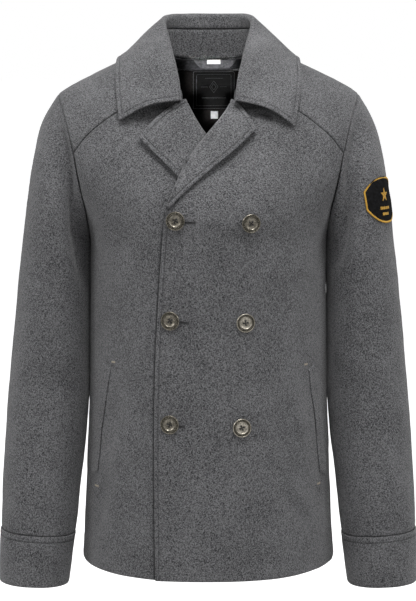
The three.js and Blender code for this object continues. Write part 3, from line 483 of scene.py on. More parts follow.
def cloth_shell(
    name, material, surface, us, ws, thick, turn=1, ring=False,
    edges=("seam",) * 4, folds=None, shape=None, inset=6.0, shade=None,
):
    """A closed shell of cloth on a surface. Its face sinks into its seams and its rows of stitching,
    folds and unevenness are laid over it, and its rims are rolled. Edges are u low and high, w low and high.
    Painted shade darkens the wool in its seams, its stitched rows, the lower turn of its rims and wherever shade adds
    it."""
    p = surface(us, ws)
    n = normal_of(surface, us, ws, turn)
    across = along_line(p, 0)
    down = along_line(p, 1)
    far = [across + 1, across[-1] - across + 1, down + 1, down[:, -1:] - down + 1]
    by_kind = {kind: np.full(across.shape, 1e3) for kind in ("seam", "stitched", "plain")}
    for kind, distance in zip(edges, far):
        if kind:
            by_kind[kind] = np.minimum(by_kind[kind], distance)
    to_seam, to_stitch, to_hem = by_kind["seam"], by_kind["stitched"], by_kind["plain"]
    relief = -0.9 * bell(to_seam, 2.0) + 0.3 * waves(p, 13, 3) * bell(to_seam, 7) * (1 - bell(to_seam, 2.2))
    relief += -0.75 * bell(to_stitch - inset, 0.8) - 0.3 * bell(to_stitch, 1.6)
    # Painted shade, as if shadow lay in the seams and the stitched grooves.
    dark = 0.6 * bell(to_seam, 1.3) + 0.25 * bell(to_stitch - inset, 0.8)
    if shade is not None:
        dark += shade(p)
    relief += 0.16 * waves(p, 9, 5) * bell(to_stitch - 5, 3) - 0.35 * bell(to_hem, 1.8)
    relief += unevenness(p)
    if folds:
        relief += crease_relief(p, folds) * ease((to_seam - 1) / 13)
    if shape is not None:
        p = p + shape(p, us, ws)
    p = p + n * relief[..., None]
    du = (np.roll(p, -1, axis=0) - np.roll(p, 1, axis=0)) / 2 if ring else np.gradient(p, axis=0)
    bent = unit(np.cross(du, np.gradient(p, axis=1)))
    n = bent * np.sign(np.sum(bent * n, axis=-1, keepdims=True))
    outer = p
    inner = p - n * thick
    nu, nw = p.shape[:2]
    if ring:
        loops = [[(i, 0) for i in range(nu)], [(i, nw - 1) for i in range(nu)]]
    else:
        loops = [
            [(i, 0) for i in range(nu)]
            + [(nu - 1, j) for j in range(1, nw)]
            + [(i, nw - 1) for i in range(nu - 2, -1, -1)]
            + [(0, j) for j in range(nw - 2, 0, -1)]
        ]
    points = [outer.reshape(-1, 3), inner.reshape(-1, 3)]
    tones = [dark.ravel(), np.zeros(dark.size)]
    total = nu * nw
    base = 2 * total
    faces = []
    for i in range(nu if ring else nu - 1):
        k = (i + 1) % nu
        for j in range(nw - 1):
            a, b, c, d = i * nw + j, k * nw + j, k * nw + j + 1, i * nw + j + 1
            faces.append((a, b, c, d))
            faces.append((total + a, total + d, total + c, total + b))
    for loop in loops:
        rows = np.array([i for i, _ in loop])
        cols = np.array([j for _, j in loop])
        way = np.zeros((len(loop), 3))
        for at_edge, inward in (
            ((rows == 0) & (not ring), (1, 0)),
            ((rows == nu - 1) & (not ring), (-1, 0)),
            (cols == 0, (0, 1)),
            (cols == nw - 1, (0, -1)),
        ):
            r, c = rows[at_edge], cols[at_edge]
            way[at_edge] += unit(p[r, c] - p[r + inward[0], c + inward[1]])
        facing = n[rows, cols]
        way = unit(way - facing * np.sum(way * facing, axis=1, keepdims=True))
        centre = (outer[rows, cols] + inner[rows, cols]) / 2
        size = len(loop)
        previous = rows * nw + cols
        # The rim's lower turns carry painted shade, the upper ones none.
        for tilt, tone in ((50, 0), (18, 0.35), (-18, 0.8), (-50, 0.9)):
            angle = math.radians(tilt)
            tones.append(np.full(size, tone))
            points.append(centre + (facing * math.sin(angle) + way * math.cos(angle)) * thick / 2)
            here = np.arange(base, base + size)
            base += size
            faces.extend(zip(np.roll(previous, -1), previous, here, np.roll(here, -1)))
            previous = here
        last = total + rows * nw + cols
        faces.extend(zip(np.roll(previous, -1), previous, last, np.roll(last, -1)))
    mesh = bpy.data.meshes.new(name)
    mesh.from_pydata((np.concatenate(points) / 1000).tolist(), [], [tuple(map(int, face)) for face in faces])
    # The painted shade of every point, read by the wool's material.
    painted_shade = mesh.attributes.new("painted_shade", "FLOAT", "POINT")
    painted_shade.data.foreach_set("value", np.clip(np.concatenate(tones), 0, 0.95).astype(np.float32))
    work = bmesh.new()
    work.from_mesh(mesh)
    bmesh.ops.recalc_face_normals(work, faces=work.faces)
    for face in work.faces:
        face.smooth = True
    work.to_mesh(mesh)
    work.free()
    mesh.materials.append(material)
    piece = bpy.data.objects.new(name, mesh)
    bpy.context.collection.objects.link(piece)
    return piece, {"p": p, "n": n, "far": far}


def cut_size(surface, us, ws):
    """The width, length and area of a panel laid flat, in metres."""
    p = surface(us, ws) / 1000.0
    across = np.linalg.norm(np.diff(p, axis=0), axis=-1).sum(axis=0).max()
    along = np.linalg.norm(np.diff(p, axis=1), axis=-1).sum(axis=1).max()
    a = p[1:, :-1] - p[:-1, :-1]
    b = p[:-1, 1:] - p[:-1, :-1]
    c = p[1:, 1:] - p[1:, :-1]
    d = p[1:, 1:] - p[:-1, 1:]
    area = (np.linalg.norm(np.cross(a, b), axis=-1).sum() + np.linalg.norm(np.cross(c, d), axis=-1).sum()) / 2
    return float(across), float(along), float(min(area, across * along))


# How far from its edge each of a panel's first rows of points lies, by the kind of edge.
seam = (1.0, 2.0, 3.2, 4.8, 7.0)
stitched = (1.1, 2.2, 3.4, 4.6, 5.3, 5.7, 6.1, 6.5, 7.1, 8.4, 10.5)
plain = (1.1, 2.4, 4.2, 6.4)
panels = {}


def hang(piece, node, size, slot="coat_wool", **cut):
    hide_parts(node)
    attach(piece, "root")


def lap_lift(p, u, w):
    """The lapping edge stands a little off the front under it, most of all towards the hem."""
    from_edge = along_line(p, 0)
    below = ease((-190 - p[..., 2]) / 60)
    lift = below * (1.1 + 1.3 * ease((-470 - p[..., 2]) / 150)) * bell(from_edge, 16)
    return point(0, -lift, 0)


def nearest_to(line, p):
    line = np.array(line, float)
    at = along_line(line, 0)
    steps = np.linspace(0, at[-1], 50)
    x, z = (curve(at, line[:, k])(steps) for k in (0, 1))
    return np.hypot(p[..., 0, None] - x, p[..., 2, None] - z).min(axis=-1)


# Lines just below the collar's lifted ends, along which shadow is painted.
collar_gaps = (
    ((38, -76), (50, -77), (62, -80), (74, -86), (82, -92)),
    ((-50, -77), (-60, -79.5), (-70, -83), (-80, -87), (-88, -90)),
)


def lap_edge_painted_shadow(p):
    """Painted shadow on the under front along the edge that laps over it."""
    return 0.85 * bell(lap_edges["left"](p[..., 2]) - 0.9 - p[..., 0], 1.5) * ease((-165 - p[..., 2]) / 25)


def collar_end_painted_shadow(p):
    """Painted shadow on the cloth below the lifted ends of the collar."""
    return 0.9 * sum(bell(nearest_to(line, p), 3.8) for line in collar_gaps) * (p[..., 1] < 0)


# The right front has painted shadow along the lap edge, and both fronts have painted shadow below the collar's ends.
for hand, out in (("left", 1), ("right", -1)):
    surface = front_surface(hand)
    near = stitched if hand == "left" else (*stitched, *np.arange(17, 107, 6.5), *np.arange(109, 142, 1.5))
    us, ws = lay_out(surface, (0, 1), (-1, 1), near, seam, plain, seam, 6.5, 7.5)
    front, panels[f"front_{hand}"] = cloth_shell(
        f"front_panel_{hand}", coat_wool, surface, us, ws, CLOTH, out,
        edges=("stitched", "seam", "plain", "seam"), folds=creases, shape=lap_lift if hand == "left" else None,
        shade=(lambda p: lap_edge_painted_shadow(p) + collar_end_painted_shadow(p)) if hand == "right" else collar_end_painted_shadow,
    )
    hang(front, f"front_{hand}", cut_size(surface, us, ws), held="hung")

# Yokes. The shoulder piece of each front, from the curved seam across the chest over the top of
# the shoulder, where it meets the back.
neck_v = (0, 0.16, 0.31, 0.44, 0.56, 0.68, 0.83, 1)
neck_x = (0, 38, 62, 76.5, 76.5, 71, 57, 34.5)
neck_rise = (2.083, 2.04, 1.9, SHOULDER_SEAM, 1.48, 1.28, 1.02, 0.775)
front_neck = curve(neck_rise[:2:-1], neck_x[:2:-1])
back_neck = curve((-38, *neck_x[:4]), (2.04, *neck_rise[:4]))


def yoke_surface(out):
    def surface(u, w):
        bottom_x = mix(34.5, 184, u)
        arm_end = armhole_x(mix(0.575, SHOULDER_SEAM, w))
        neck_end = front_neck(mix(0.775, SHOULDER_SEAM, w))
        straight = mix(mix(34.5, 76.5, w), mix(184, 208, w), u)
        x = mix(neck_end, arm_end, u) + mix(bottom_x, mix(76.5, 208, u), w) - straight
        return body_point(-1, out * x, mix(yoke_rise(bottom_x), SHOULDER_SEAM, w))

    return surface


for hand, out in (("left", 1), ("right", -1)):
    surface = yoke_surface(out)
    us, ws = lay_out(surface, (0, 1), (0, 1), seam, seam, seam, seam, 6)
    yoke, _ = cloth_shell(
        f"yoke_panel_{hand}", coat_wool, surface, us, ws, CLOTH, out, folds=creases
    )
    hang(yoke, f"yoke_{hand}", cut_size(surface, us, ws), held="hung")

# Back. One panel from side seam to side seam, up over the shoulder blades to the neck and the
# shoulder seams, a little behind the ridge of the shoulders.
BACK_TOP = PI - SHOULDER_SEAM
NECK_COLUMN = 5 / 12


def back_top(u):
    side = np.abs(u)
    neck = side < NECK_COLUMN
    x = np.where(neck, side / NECK_COLUMN * 76.5, mix(76.5, 208, (side - NECK_COLUMN) / (1 - NECK_COLUMN)))
    return x, np.where(neck, PI - back_neck(x), BACK_TOP)


def back_surface(u, w):
    top_x, top_rise = back_top(u)
    reach = np.where(w > 0, armhole_x(np.maximum(w, 0) * BACK_TOP), ring_half(UNDERARM + BODY_LENGTH * w))
    share = mix(np.sin(np.abs(u) * QUARTER), top_x / 208, ease(w))
    return body_point(1, np.sign(u) * reach * share, np.where(w > 0, w * top_rise, w), (np.abs(u) > 1) & (w <= 0))


us, ws = lay_out(back_surface, (-1, 1), (-1, 1), seam, seam, plain, seam, 7, 7.5)
edges = ("seam", "seam", "plain", "seam")
back, _ = cloth_shell(
    "back_panel", coat_wool, back_surface, us, ws, CLOTH, -1, edges=edges, folds=creases
)
hang(back, "back", cut_size(back_surface, us, ws), held="hung")

# Sleeves. Each is cut in two, a wide top sleeve and a narrow under sleeve, set into the armhole
# and sewn to a separate turned cuff band.
sleeve_t = (0, 0.06, 0.13, 0.2, 0.3, 0.42, 0.56, 0.7, 0.88, 1)
sleeve_xo = curve(sleeve_t, (208, 231, 243, 250.5, 260, 269.5, 279, 286, 290, 292))
sleeve_zo = curve(sleeve_t, (-62, -103, -152, -203, -280, -370, -470, -567, -664, -737))
sleeve_xi = curve(sleeve_t, (162.5, 162.5, 163, 164, 164.4, 164.9, 166.6, 175.8, 186.5, 196.5))
sleeve_zi = curve(sleeve_t, (-252, -266, -283, -303, -345, -408, -486, -576, -671, -741.5))
sleeve_y = curve(sleeve_t, (2, 1, 0, -1, -3, -7, -14, -23, -35, -42))
sleeve_deep = curve(sleeve_t, (70, 71, 71.5, 71.5, 70, 67, 62, 57, 51, 47))
CUFF_SEAM = 0.88


def power(value, exponent):
    return np.sign(value) * np.abs(value) ** exponent


def sleeve_section(turn, t):
    share = (1 + power(np.cos(turn), 2 / 2.2)) / 2
    depth = power(np.sin(turn), 2 / 2.2)
    x = mix(sleeve_xi(t), sleeve_xo(t), share)
    z = mix(sleeve_zi(t), sleeve_zo(t), share)
    return point(x, sleeve_y(t) - sleeve_deep(t) * depth, z)


def sleeve_surface(out):
    def surface(turn, t):
        turn, t = np.broadcast_arrays(turn, t)
        share = np.clip((1 + power(np.cos(turn), 2 / 2.2)) / 2, 0, 1)
        rise = np.arcsin(share)
        cap = body_point(np.where(np.sin(turn) > 0, -1, 1), armhole_x(rise), rise)
        hold = (1 - ease(t / 0.17))[..., None]
        p = sleeve_section(turn, t) + (cap - sleeve_section(turn, np.zeros(t.shape))) * hold
        return p * (out, 1, 1)

    return surface


def turn_of(rise):
    return math.acos(float(power(2 * math.sin(rise) - 1, 1.1)))


sleeve_creases = [
    (-1, ((214, -70), (203, -122), (195, -162), (189, -203), (182, -244), (170, -300)), -14, 10.5),
    (-1, ((199, -84), (188, -129), (180, -176), (174, -217), (168, -262)), 2.0, 6),
    (-1, ((-203, -90), (-193, -149), (-186, -183), (-180, -217), (-174, -258), (-165, -320)), -17, 12),
    (-1, ((-232, -120), (-222, -200), (-218, -290)), 1.6, 16),
    (-1, ((236, -130), (228, -210), (224, -290)), 1.6, 16),
    (-1, ((178, -388), (208, -408), (244, -410)), -1.6, 8),
    (-1, ((180, -418), (214, -432), (252, -426)), 1.4, 9),
    (-1, ((184, -452), (218, -462), (256, -450)), -1.3, 8),
    (-1, ((-178, -372), (-206, -396), (-238, -402)), -1.5, 8),
    (-1, ((-181, -404), (-212, -424), (-248, -424)), 1.5, 9),
    (-1, ((-186, -446), (-220, -462), (-258, -456)), -1.4, 9),
    (-1, ((-196, -560), (-226, -576), (-262, -572)), -1.0, 10),
    (-1, ((198, -566), (230, -584), (268, -576)), -1.0, 10),
    (-1, ((270, -480), (262, -560), (258, -640)), 1.2, 12),
    (-1, ((-268, -470), (-258, -550), (-254, -640)), 1.2, 12),
    (1, ((228, -140), (214, -210), (204, -280)), 1.8, 12),
    (1, ((-226, -136), (-212, -200), (-206, -276)), 1.8, 12),
    (1, ((190, -400), (222, -392), (250, -376)), 2.0, 11),
    (1, ((-190, -410), (-220, -396), (-252, -384)), 2.0, 11),
]
fore_seam = turn_of(0.18 * 0.575)
hind_seam = turn_of(0.176 * BACK_TOP)
for hand, out in (("left", 1), ("right", -1)):
    surface = sleeve_surface(out)
    for part, start, end in (("top", -hind_seam, fore_seam), ("under", fore_seam, 2 * PI - hind_seam)):
        us, ws = lay_out(surface, (start, end), (0, CUFF_SEAM), seam, seam, seam, seam, 6, 7)
        sleeve, _ = cloth_shell(
            f"{part}_sleeve_{hand}", coat_wool, surface, us, ws, CLOTH, out,
            edges=("", "", "seam", "seam"), folds=sleeve_creases,
        )
        hang(sleeve, f"sleeve_{part}_{hand}", cut_size(surface, us, ws), held="hung")

# Cuffs. A deep band sewn round the end of each sleeve, standing a little proud of it, with a
# row of stitching below its seam.
CUFF_STITCH = 8.5
for hand, out in (("left", 1), ("right", -1)):
    sleeve = sleeve_surface(out)

    def surface(turn, t):
        return sleeve(turn, t) + normal_of(sleeve, turn, t, out) * 0.9

    deeper = (1.0, 2.2, 3.6, 5.4, 7.2, 7.9, 8.3, 8.7, 9.1, 9.8, 11.5)
    us, ws = lay_out(surface, (0, 2 * PI), (CUFF_SEAM, 1), (0.0,), (0.0,), deeper, plain, 6)
    cuff, panels[f"cuff_{hand}"] = cloth_shell(
        f"cuff_band_{hand}", coat_wool, surface, us[:-1], ws[:-1], CLOTH, out, True,
        edges=("", "", "stitched", "plain"), inset=CUFF_STITCH,
    )
    hang(cuff, f"cuff_{hand}", cut_size(surface, us, ws), held="hung")

# Collar. A stand sewn to the neck, and a wide fall of two layers of the wool that turns over
# at the fold and lies on the shoulders and the chest.
right_end = ((32.5, -83, -62), (120, -92, -93))
left_end = ((32.5, -83, -62), (116, -96, -101))
collar_back = (
    (0, (0, 92, 48.5), (0, 104, -30)),
    (0.16, (34, 86, 48.5), (42, 101, -31)),
    (0.31, (54, 64, 47), (88, 85, -28)),
    (0.42, (60, 36, 40), (122, 46, -19)),
    (0.54, (54.5, 2, 18), (126, 8, -13)),
    (0.68, (47.5, -30, -6), (126.5, -34, -27)),
    (0.83, (40.5, -58, -33), (125, -67, -56)),
)
right_rows = [(-v, (-r[0], *r[1:]), (-e[0], *e[1:])) for v, r, e in (*collar_back[1:], (1, *right_end))]
collar_rows = [*right_rows[::-1], *collar_back, (1, *left_end)]
collar_v = [row[0] for row in collar_rows]
fold_line = [curve(collar_v, [row[1][k] for row in collar_rows]) for k in range(3)]
edge_line = [curve(collar_v, [row[2][k] for row in collar_rows]) for k in range(3)]
round_v = [-v for v in neck_v[:0:-1]] + list(neck_v)
round_x = curve(round_v, [-x for x in neck_x[:0:-1]] + list(neck_x))
round_rise = curve(round_v, list(neck_rise[:0:-1]) + list(neck_rise))
FOLD = 4.6
COLLAR_CLOTH = 3.0


def read_line(line, v):
    return np.stack([part(v) for part in line], axis=-1)


def collar_frame(v):
    fold = read_line(fold_line, v)
    edge = read_line(edge_line, v)
    neck = body_point(-1, round_x(v), round_rise(v))
    neck = neck + unit(fold - neck) * (0.4 * (1 + 5 * v * v))[..., None]
    way = unit(read_line(fold_line, v + 0.01) - read_line(fold_line, v - 0.01))
    apex = fold - (neck + edge) / 2
    apex = unit(apex - way * np.sum(apex * way, axis=-1, keepdims=True))
    out = unit(np.cross(apex, way))
    return {"base": neck, "centre": fold - apex * FOLD, "apex": apex, "out": out, "radius": FOLD, "edge": edge}


def clear_of_body(p, distance, hold):
    x = p[..., 0]
    rise = np.full(x.shape, 1.4)
    for step, reach in ((0.05, 25), (0.0125, 5), (0.003125, 5)):
        trials = rise[..., None] + np.arange(-reach, reach + 1) * step
        gaps = np.linalg.norm(body_point(-1, x[..., None], trials) - p[..., None, :], axis=-1)
        rise = np.take_along_axis(trials, gaps.argmin(axis=-1)[..., None], axis=-1)[..., 0]
    q = body_point(-1, x, rise)
    dx = body_point(-1, x + 1, rise) - body_point(-1, x - 1, rise)
    dr = body_point(-1, x, rise + 0.01) - body_point(-1, x, rise - 0.01)
    out = unit(np.cross(dx, dr))
    height = np.sum((p - q) * out, axis=-1)
    wanted = (height + distance + np.sqrt((height - distance) ** 2 + 2.5**2)) / 2
    return p + out * ((wanted - height) * hold)[..., None]


def collar_leaf(f, s, v):
    start = f["centre"] + f["out"] * f["radius"]
    p = mix(start, f["edge"], s[..., None]) + f["out"] * (5 * np.sin(PI * s) * (1 - 0.3 * s))[..., None]
    over_stand = 4.2 * (1 - ease((s - 0.22) * 4))
    over_lap = np.where(p[..., 0] > 0, lap_offset(p[..., 0], p[..., 2]), 0)
    return clear_of_body(p, 4.6 + over_stand + over_lap, ease(s * 7))


def folded(frame_at, leaf):
    """A strip that turns over: v along it, u 0 to 1 up its base, 1 to 2 round its fold, 2 to 3 down its leaf."""

    def surface(v, u):
        v, u = np.broadcast_arrays(np.asarray(v, float), np.asarray(u, float))
        f = frame_at(v)
        side = u[..., None]
        up = mix(f["base"], f["centre"] - f["out"] * f["radius"], np.minimum(side, 1))
        turn = (side - 1) * PI
        over = f["centre"] + f["radius"] * (f["apex"] * np.sin(turn) - f["out"] * np.cos(turn))
        down = leaf(f, np.maximum(u - 2, 0), v)
        return np.where(side < 1, up, np.where(side <= 2, over, down))

    return surface


collar_surface = folded(collar_frame, collar_leaf)


def end_drop(p, v, u):
    """The collar's front ends hang a little lower and further off the chest than a straight roll."""
    near_end = ease((np.abs(v) - 0.84) / 0.16)
    inner = near_end * (1 - 0.85 * ease((u - 2) / 0.75)) * ease((u - 0.3) / 0.7)
    arch = near_end * np.sin(PI * np.clip((u - 2) * 1.05, 0, 1)) * np.where(v > 0, 8, 6.5)
    return point(np.sign(v) * 2.6 * inner, -3.4 * inner - arch, -6.5 * inner + 0.5 * arch)


us, ws = lay_out(collar_surface, (-1, 1), (0, 0.7), plain, plain, seam, seam, 6, 4)
edges = ("plain", "plain", "seam", "seam")
stand, _ = cloth_shell("stand_of_collar", coat_wool, collar_surface, us, ws, CLOTH, edges=edges, shape=end_drop)
hang(stand, "collar_stand", cut_size(collar_surface, us, ws), held="folded")
us, ws = lay_out(collar_surface, (-1, 1), (0.7, 3), stitched, stitched, (1.5, 2.4, 3.8, 5.6), stitched, 5, 3.5)
edges = ("stitched", "stitched", "seam", "stitched")
fall, panels["fall"] = cloth_shell(
    "fall_of_collar", coat_wool, collar_surface, us, ws, COLLAR_CLOTH, edges=edges, shape=end_drop
)
hang(fall, "collar_fall", cut_size(collar_surface, us, ws), held="folded")

# Lapels. The upper end of each front turns back over its edge and lies on the chest, faced with
# the same wool.
LAPEL_FOLD = 3.6
LAPEL_CLOTH = 2.4
lapel_ends = {
    "left": (
        (0, 0.2, 0.45, 0.7, 1), (-52.5, -31, -2, 32, 65),
        (-212, -191.5, -168, -143, -111.5), (4.2, 5, 7.5, 9, 7.5),
    ),
    "right": (
        (0, 0.2, 0.4, 0.6, 1), (54, 20, -12, -38.5, -93.5),
        (-213, -207, -194, -171, -118.5), (3.6, 3.6, 3.6, 6.5, 8.5),
    ),
}
for hand, out in (("left", 1), ("right", -1)):
    front = front_surface(hand)
    places, *columns = lapel_ends[hand]
    end_x, end_z, end_lift = (curve(places, column) for column in columns)

    def lapel_frame(v):
        w = mix(0.2, 0.98, v)
        edge = front(0 * w, w)
        away = normal_of(front, 0 * w + 0.004, w, out)
        way = unit(front(0 * w, w + 0.01) - front(0 * w, w - 0.01))
        apex = edge - front(0 * w + 0.02, w)
        for other in (way, away):
            apex = apex - other * np.sum(apex * other, axis=-1, keepdims=True)
        apex = unit(apex)
        centre = edge + away * (LAPEL_FOLD - LAPEL_CLOTH) + apex * SEAM
        base = centre - away * LAPEL_FOLD
        return {"base": base, "centre": centre, "apex": apex, "out": away, "radius": LAPEL_FOLD, "edge": edge}

    def lapel_leaf(f, s, v):
        lift = mix(2 * LAPEL_FOLD - LAPEL_CLOTH, end_lift(v), ease(s * 1.4))
        tuck = 6 * np.sin(PI * s) * ease((v - 0.7) / 0.3)
        return on_front(hand, mix(f["edge"][..., 0], end_x(v), s), mix(f["edge"][..., 2], end_z(v), s) + tuck, lift)

    surface = folded(lapel_frame, lapel_leaf)
    us, ws = lay_out(surface, (0, 1), (1, 3), plain, stitched, plain, stitched, 5, 3.5)
    edges = ("", "stitched", "", "stitched")
    # The lapel has painted shadow below the collar's end.
    lapel, panels[f"lapel_{hand}"] = cloth_shell(
        f"turned_lapel_{hand}", coat_wool, surface, us, ws, LAPEL_CLOTH, -out, edges=edges, shade=collar_end_painted_shadow
    )
    hang(lapel, f"lapel_{hand}", cut_size(surface, us, ws), held="folded")

# Topstitching. Short stitches in thick grey thread, run 6 mm inside the edges of the collar, the
# lapels and the front, and lower below the cuffs' seams, each pulled down into the wool.
thread_twist, given = start_group("thread_twist", {"Vector": "Vector"}, {"Height": "Float"})
plies = wire(
    thread_twist, "ShaderNodeTexWave",
    {"Vector": given[0], "Scale": 900.0, "Distortion": 2.0, "Detail": 1.0}, bands_direction="DIAGONAL",
)
wire(thread_twist, "NodeGroupOutput", {"Height": plies.outputs["Fac"]})


def thread_material(name, colour, shine=0.25):
    settings = {"Base Color": (*colour, 1), "Roughness": 0.6, "Specular IOR Level": shine, "Sheen Weight": 0.1}
    return surface_of(name, thread_twist, settings, (0.4, 0.0002), reads=())


grey_thread = thread_material("grey_thread", (0.024, 0.024, 0.027))
bpy.ops.mesh.primitive_uv_sphere_add(segments=6, ring_count=5, radius=0.001)
stitch = bpy.context.object
bpy.ops.object.mode_set(mode="EDIT")
bpy.ops.transform.rotate(value=QUARTER, orient_axis="Y", center_override=(0, 0, 0))
bpy.ops.object.mode_set(mode="OBJECT")
stitch_points = np.array([tuple(v.co) for v in stitch.data.vertices]) * 1000
stitch_faces = [tuple(face.vertices) for face in stitch.data.polygons]
bpy.data.objects.remove(stitch)


def seam_line(panel, side, inset, start=0.0, end=0.0):
    """The line on a panel's face at a distance from one of its edges, with the face's normals."""
    p, n, far = panel["p"], panel["n"], panel["far"][side]
    if side > 1:
        p, n, far = p.transpose(1, 0, 2), n.transpose(1, 0, 2), far.T
    if side % 2:
        p, n, far = p[::-1], n[::-1], far[::-1]
    line = np.array([[np.interp(inset, far[:, k], p[:, k, c]) for c in range(3)] for k in range(p.shape[1])])
    facing = np.array([[np.interp(inset, far[:, k], n[:, k, c]) for c in range(3)] for k in range(p.shape[1])])
    run = along_line(line, 0)
    at = np.linspace(start, run[-1] - end, 400)
    return tuple(np.stack([np.interp(at, run, values[:, c]) for c in range(3)], axis=1) for values in (line, facing))


def spread_stitches(line, pitch=3.7, length=2.8, width=0.75, turn=0.0, sink=0.05):
    """Stitches at an even pitch along a line: their middles, ways, normals, lengths and widths."""
    p, n = line
    run = along_line(p, 0)
    at = np.arange(pitch / 2, run[-1], pitch)
    middle = np.stack([np.interp(at, run, p[:, c]) for c in range(3)], axis=1)
    facing = unit(np.stack([np.interp(at, run, n[:, c]) for c in range(3)], axis=1))
    ahead = np.stack([np.interp(at + 0.5, run, p[:, c]) for c in range(3)], axis=1)
    behind = np.stack([np.interp(at - 0.5, run, p[:, c]) for c in range(3)], axis=1)
    way = unit(ahead - behind)
    if turn:
        way = way * math.cos(turn) + np.cross(facing, way) * math.sin(turn)
    count = len(at)
    return middle - facing * sink, way, facing, np.full(count, length), np.full(count, width)


def sew(name, material, rows):
    middle, way, facing, length, width = (np.concatenate(parts) for parts in zip(*rows))
    side = unit(np.cross(facing, way))
    facing = unit(np.cross(way, side))
    shape = stitch_points[None, :, :]
    points = (
        middle[:, None]
        + way[:, None] * shape[..., 0:1] * (length / 2)[:, None, None]
        + side[:, None] * shape[..., 1:2] * (width / 2)[:, None, None]
        + facing[:, None] * shape[..., 2:3] * (width / 2)[:, None, None]
    )
    step = len(stitch_points)
    faces = [tuple(k * step + v for v in face) for k in range(len(middle)) for face in stitch_faces]
    mesh = bpy.data.meshes.new(name)
    mesh.from_pydata((points.reshape(-1, 3) / 1000).tolist(), [], faces)
    mesh.materials.append(material)
    for polygon in mesh.polygons:
        polygon.use_smooth = True
    piece = bpy.data.objects.new(name, mesh)
    bpy.context.collection.objects.link(piece)
    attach(piece, "root")


sew("collar_stitching", grey_thread, [
    spread_stitches(seam_line(panels["fall"], 3, 6, 7, 7)),
    spread_stitches(seam_line(panels["fall"], 0, 6, 14, 7)),
    spread_stitches(seam_line(panels["fall"], 1, 6, 14, 7)),
])
sew("lapel_stitching", grey_thread, [
    spread_stitches(seam_line(panels[f"lapel_{hand}"], side, 6, start, 7))
    for hand in ("left", "right") for side, start in ((1, 10), (3, 6))
])
sew("front_edge_stitching", grey_thread, [spread_stitches(seam_line(panels["front_left"], 0, 6, 8, 222))])
sew("cuff_stitching", grey_thread, [
    spread_stitches(seam_line(panels[f"cuff_{hand}"], 2, CUFF_STITCH)) for hand in ("left", "right")
])

# Buttonholes. Three straight worked holes in the left front, their lips bound in close stitches,
# each showing past the edge of the button that is done up through it.
HOLE_LIP = 1.0


def laid_on(hand, x, z, lift=0.0):
    """A point of the finished front as it hangs, with the normal there."""
    x, z = np.broadcast_arrays(np.asarray(x, float), np.asarray(z, float))

    def at(px, pz):
        p = on_front(hand, px, pz, 0)
        return p + unit(on_front(hand, px, pz, 1) - p) * (unevenness(p) + crease_relief(p, creases))[..., None]

    normal = unit(np.cross(at(x + 1, z) - at(x - 1, z), at(x, z + 1) - at(x, z - 1)))
    return at(x, z) + normal * lift, normal


button_places = {
    "lap_top": (-42.5, -225), "lap_middle": (-50.2, -358.5), "lap_bottom": (-51, -498.5),
    "inner_top": (55, -228), "inner_middle": (48.9, -361), "inner_bottom": (44.3, -502.5),
}
lips = []
slits = []
for name, reach in (("lap_top", 24.5), ("lap_middle", 23.5), ("lap_bottom", 18.5)):
    x, z = button_places[name]
    along_x = np.linspace(x - 2, x + reach, 30)
    for side in (-HOLE_LIP, HOLE_LIP):
        lips.append(spread_stitches(laid_on("left", along_x, z - 2 + side, 0.2), 0.95, 1.8, 0.9, QUARTER))
    end = laid_on("left", np.full(9, x + reach + 0.6), np.linspace(z - 4.2, z + 0.2, 9), 0.3)
    lips.append(spread_stitches(end, 0.9, 2.2, 0.9, QUARTER))
    # Near black strips laid along each slit: painted shadow in the opening.
    slits.append(spread_stitches(laid_on("left", along_x[:-3], z - 2, 0.1), 2.0, 3.0, 0.7))
sew("buttonhole_lips", thread_material("hole_thread", (0.045, 0.045, 0.048)), lips)
sew("buttonhole_slit_shadows", thread_material("slit_shadow", (0.006, 0.006, 0.006), 0.0), slits)

# Buttons. Six cast metal buttons with an aged finish: a raised rim, a twisted rope ring in a dark
# channel, a dished middle and four holes, sewn on crosswise with dark thread.
aged_metal, given = start_group(
    "aged_metal", {"Vector": "Vector", "Worn": "Color", "Tarnished": "Color"},
    {"Color": "Color", "Roughness": "Float", "Height": "Float"},
)
tarnish = wire(
    aged_metal, "ShaderNodeTexNoise",
    {"Vector": given["Vector"], "Scale": 520.0, "Detail": 4.0, "Roughness": 0.65},
)
amount = wire(aged_metal, "ShaderNodeMapRange", {"Value": tarnish.outputs[0], "From Min": 0.38, "From Max": 0.64})
metal_tone = wire(
    aged_metal, "ShaderNodeMix",
    {0: amount.outputs[0], 6: given["Tarnished"], 7: given["Worn"]}, data_type="RGBA",
)
dullness = wire(
    aged_metal, "ShaderNodeMapRange",
    {"Value": tarnish.outputs[0], "From Min": 0.35, "From Max": 0.65, "To Min": 0.52, "To Max": 0.3},
)
wire(
    aged_metal, "NodeGroupOutput",
    {"Color": metal_tone.outputs[2], "Roughness": dullness.outputs[0], "Height": tarnish.outputs[0]},
)


def metal_material(name, worn, tarnished):
    look = {"Worn": worn, "Tarnished": tarnished}
    return surface_of(name, aged_metal, {"Metallic": 1.0}, (0.3, 0.0002), ("Color", "Roughness"), **look)


worn_rim = metal_material("worn_rim", (0.4, 0.37, 0.31), (0.12, 0.11, 0.088))
bright_rim = metal_material("bright_rim", (0.62, 0.58, 0.5), (0.26, 0.24, 0.2))
dark_patina = metal_material("dark_patina", (0.07, 0.064, 0.05), (0.022, 0.02, 0.016))


def choose(mesh, test):
    """In edit mode, selects the faces that pass a test."""
    work = bmesh.from_edit_mesh(mesh)
    for face in work.faces:
        face.select_set(test(face))
    bmesh.update_edit_mesh(mesh)


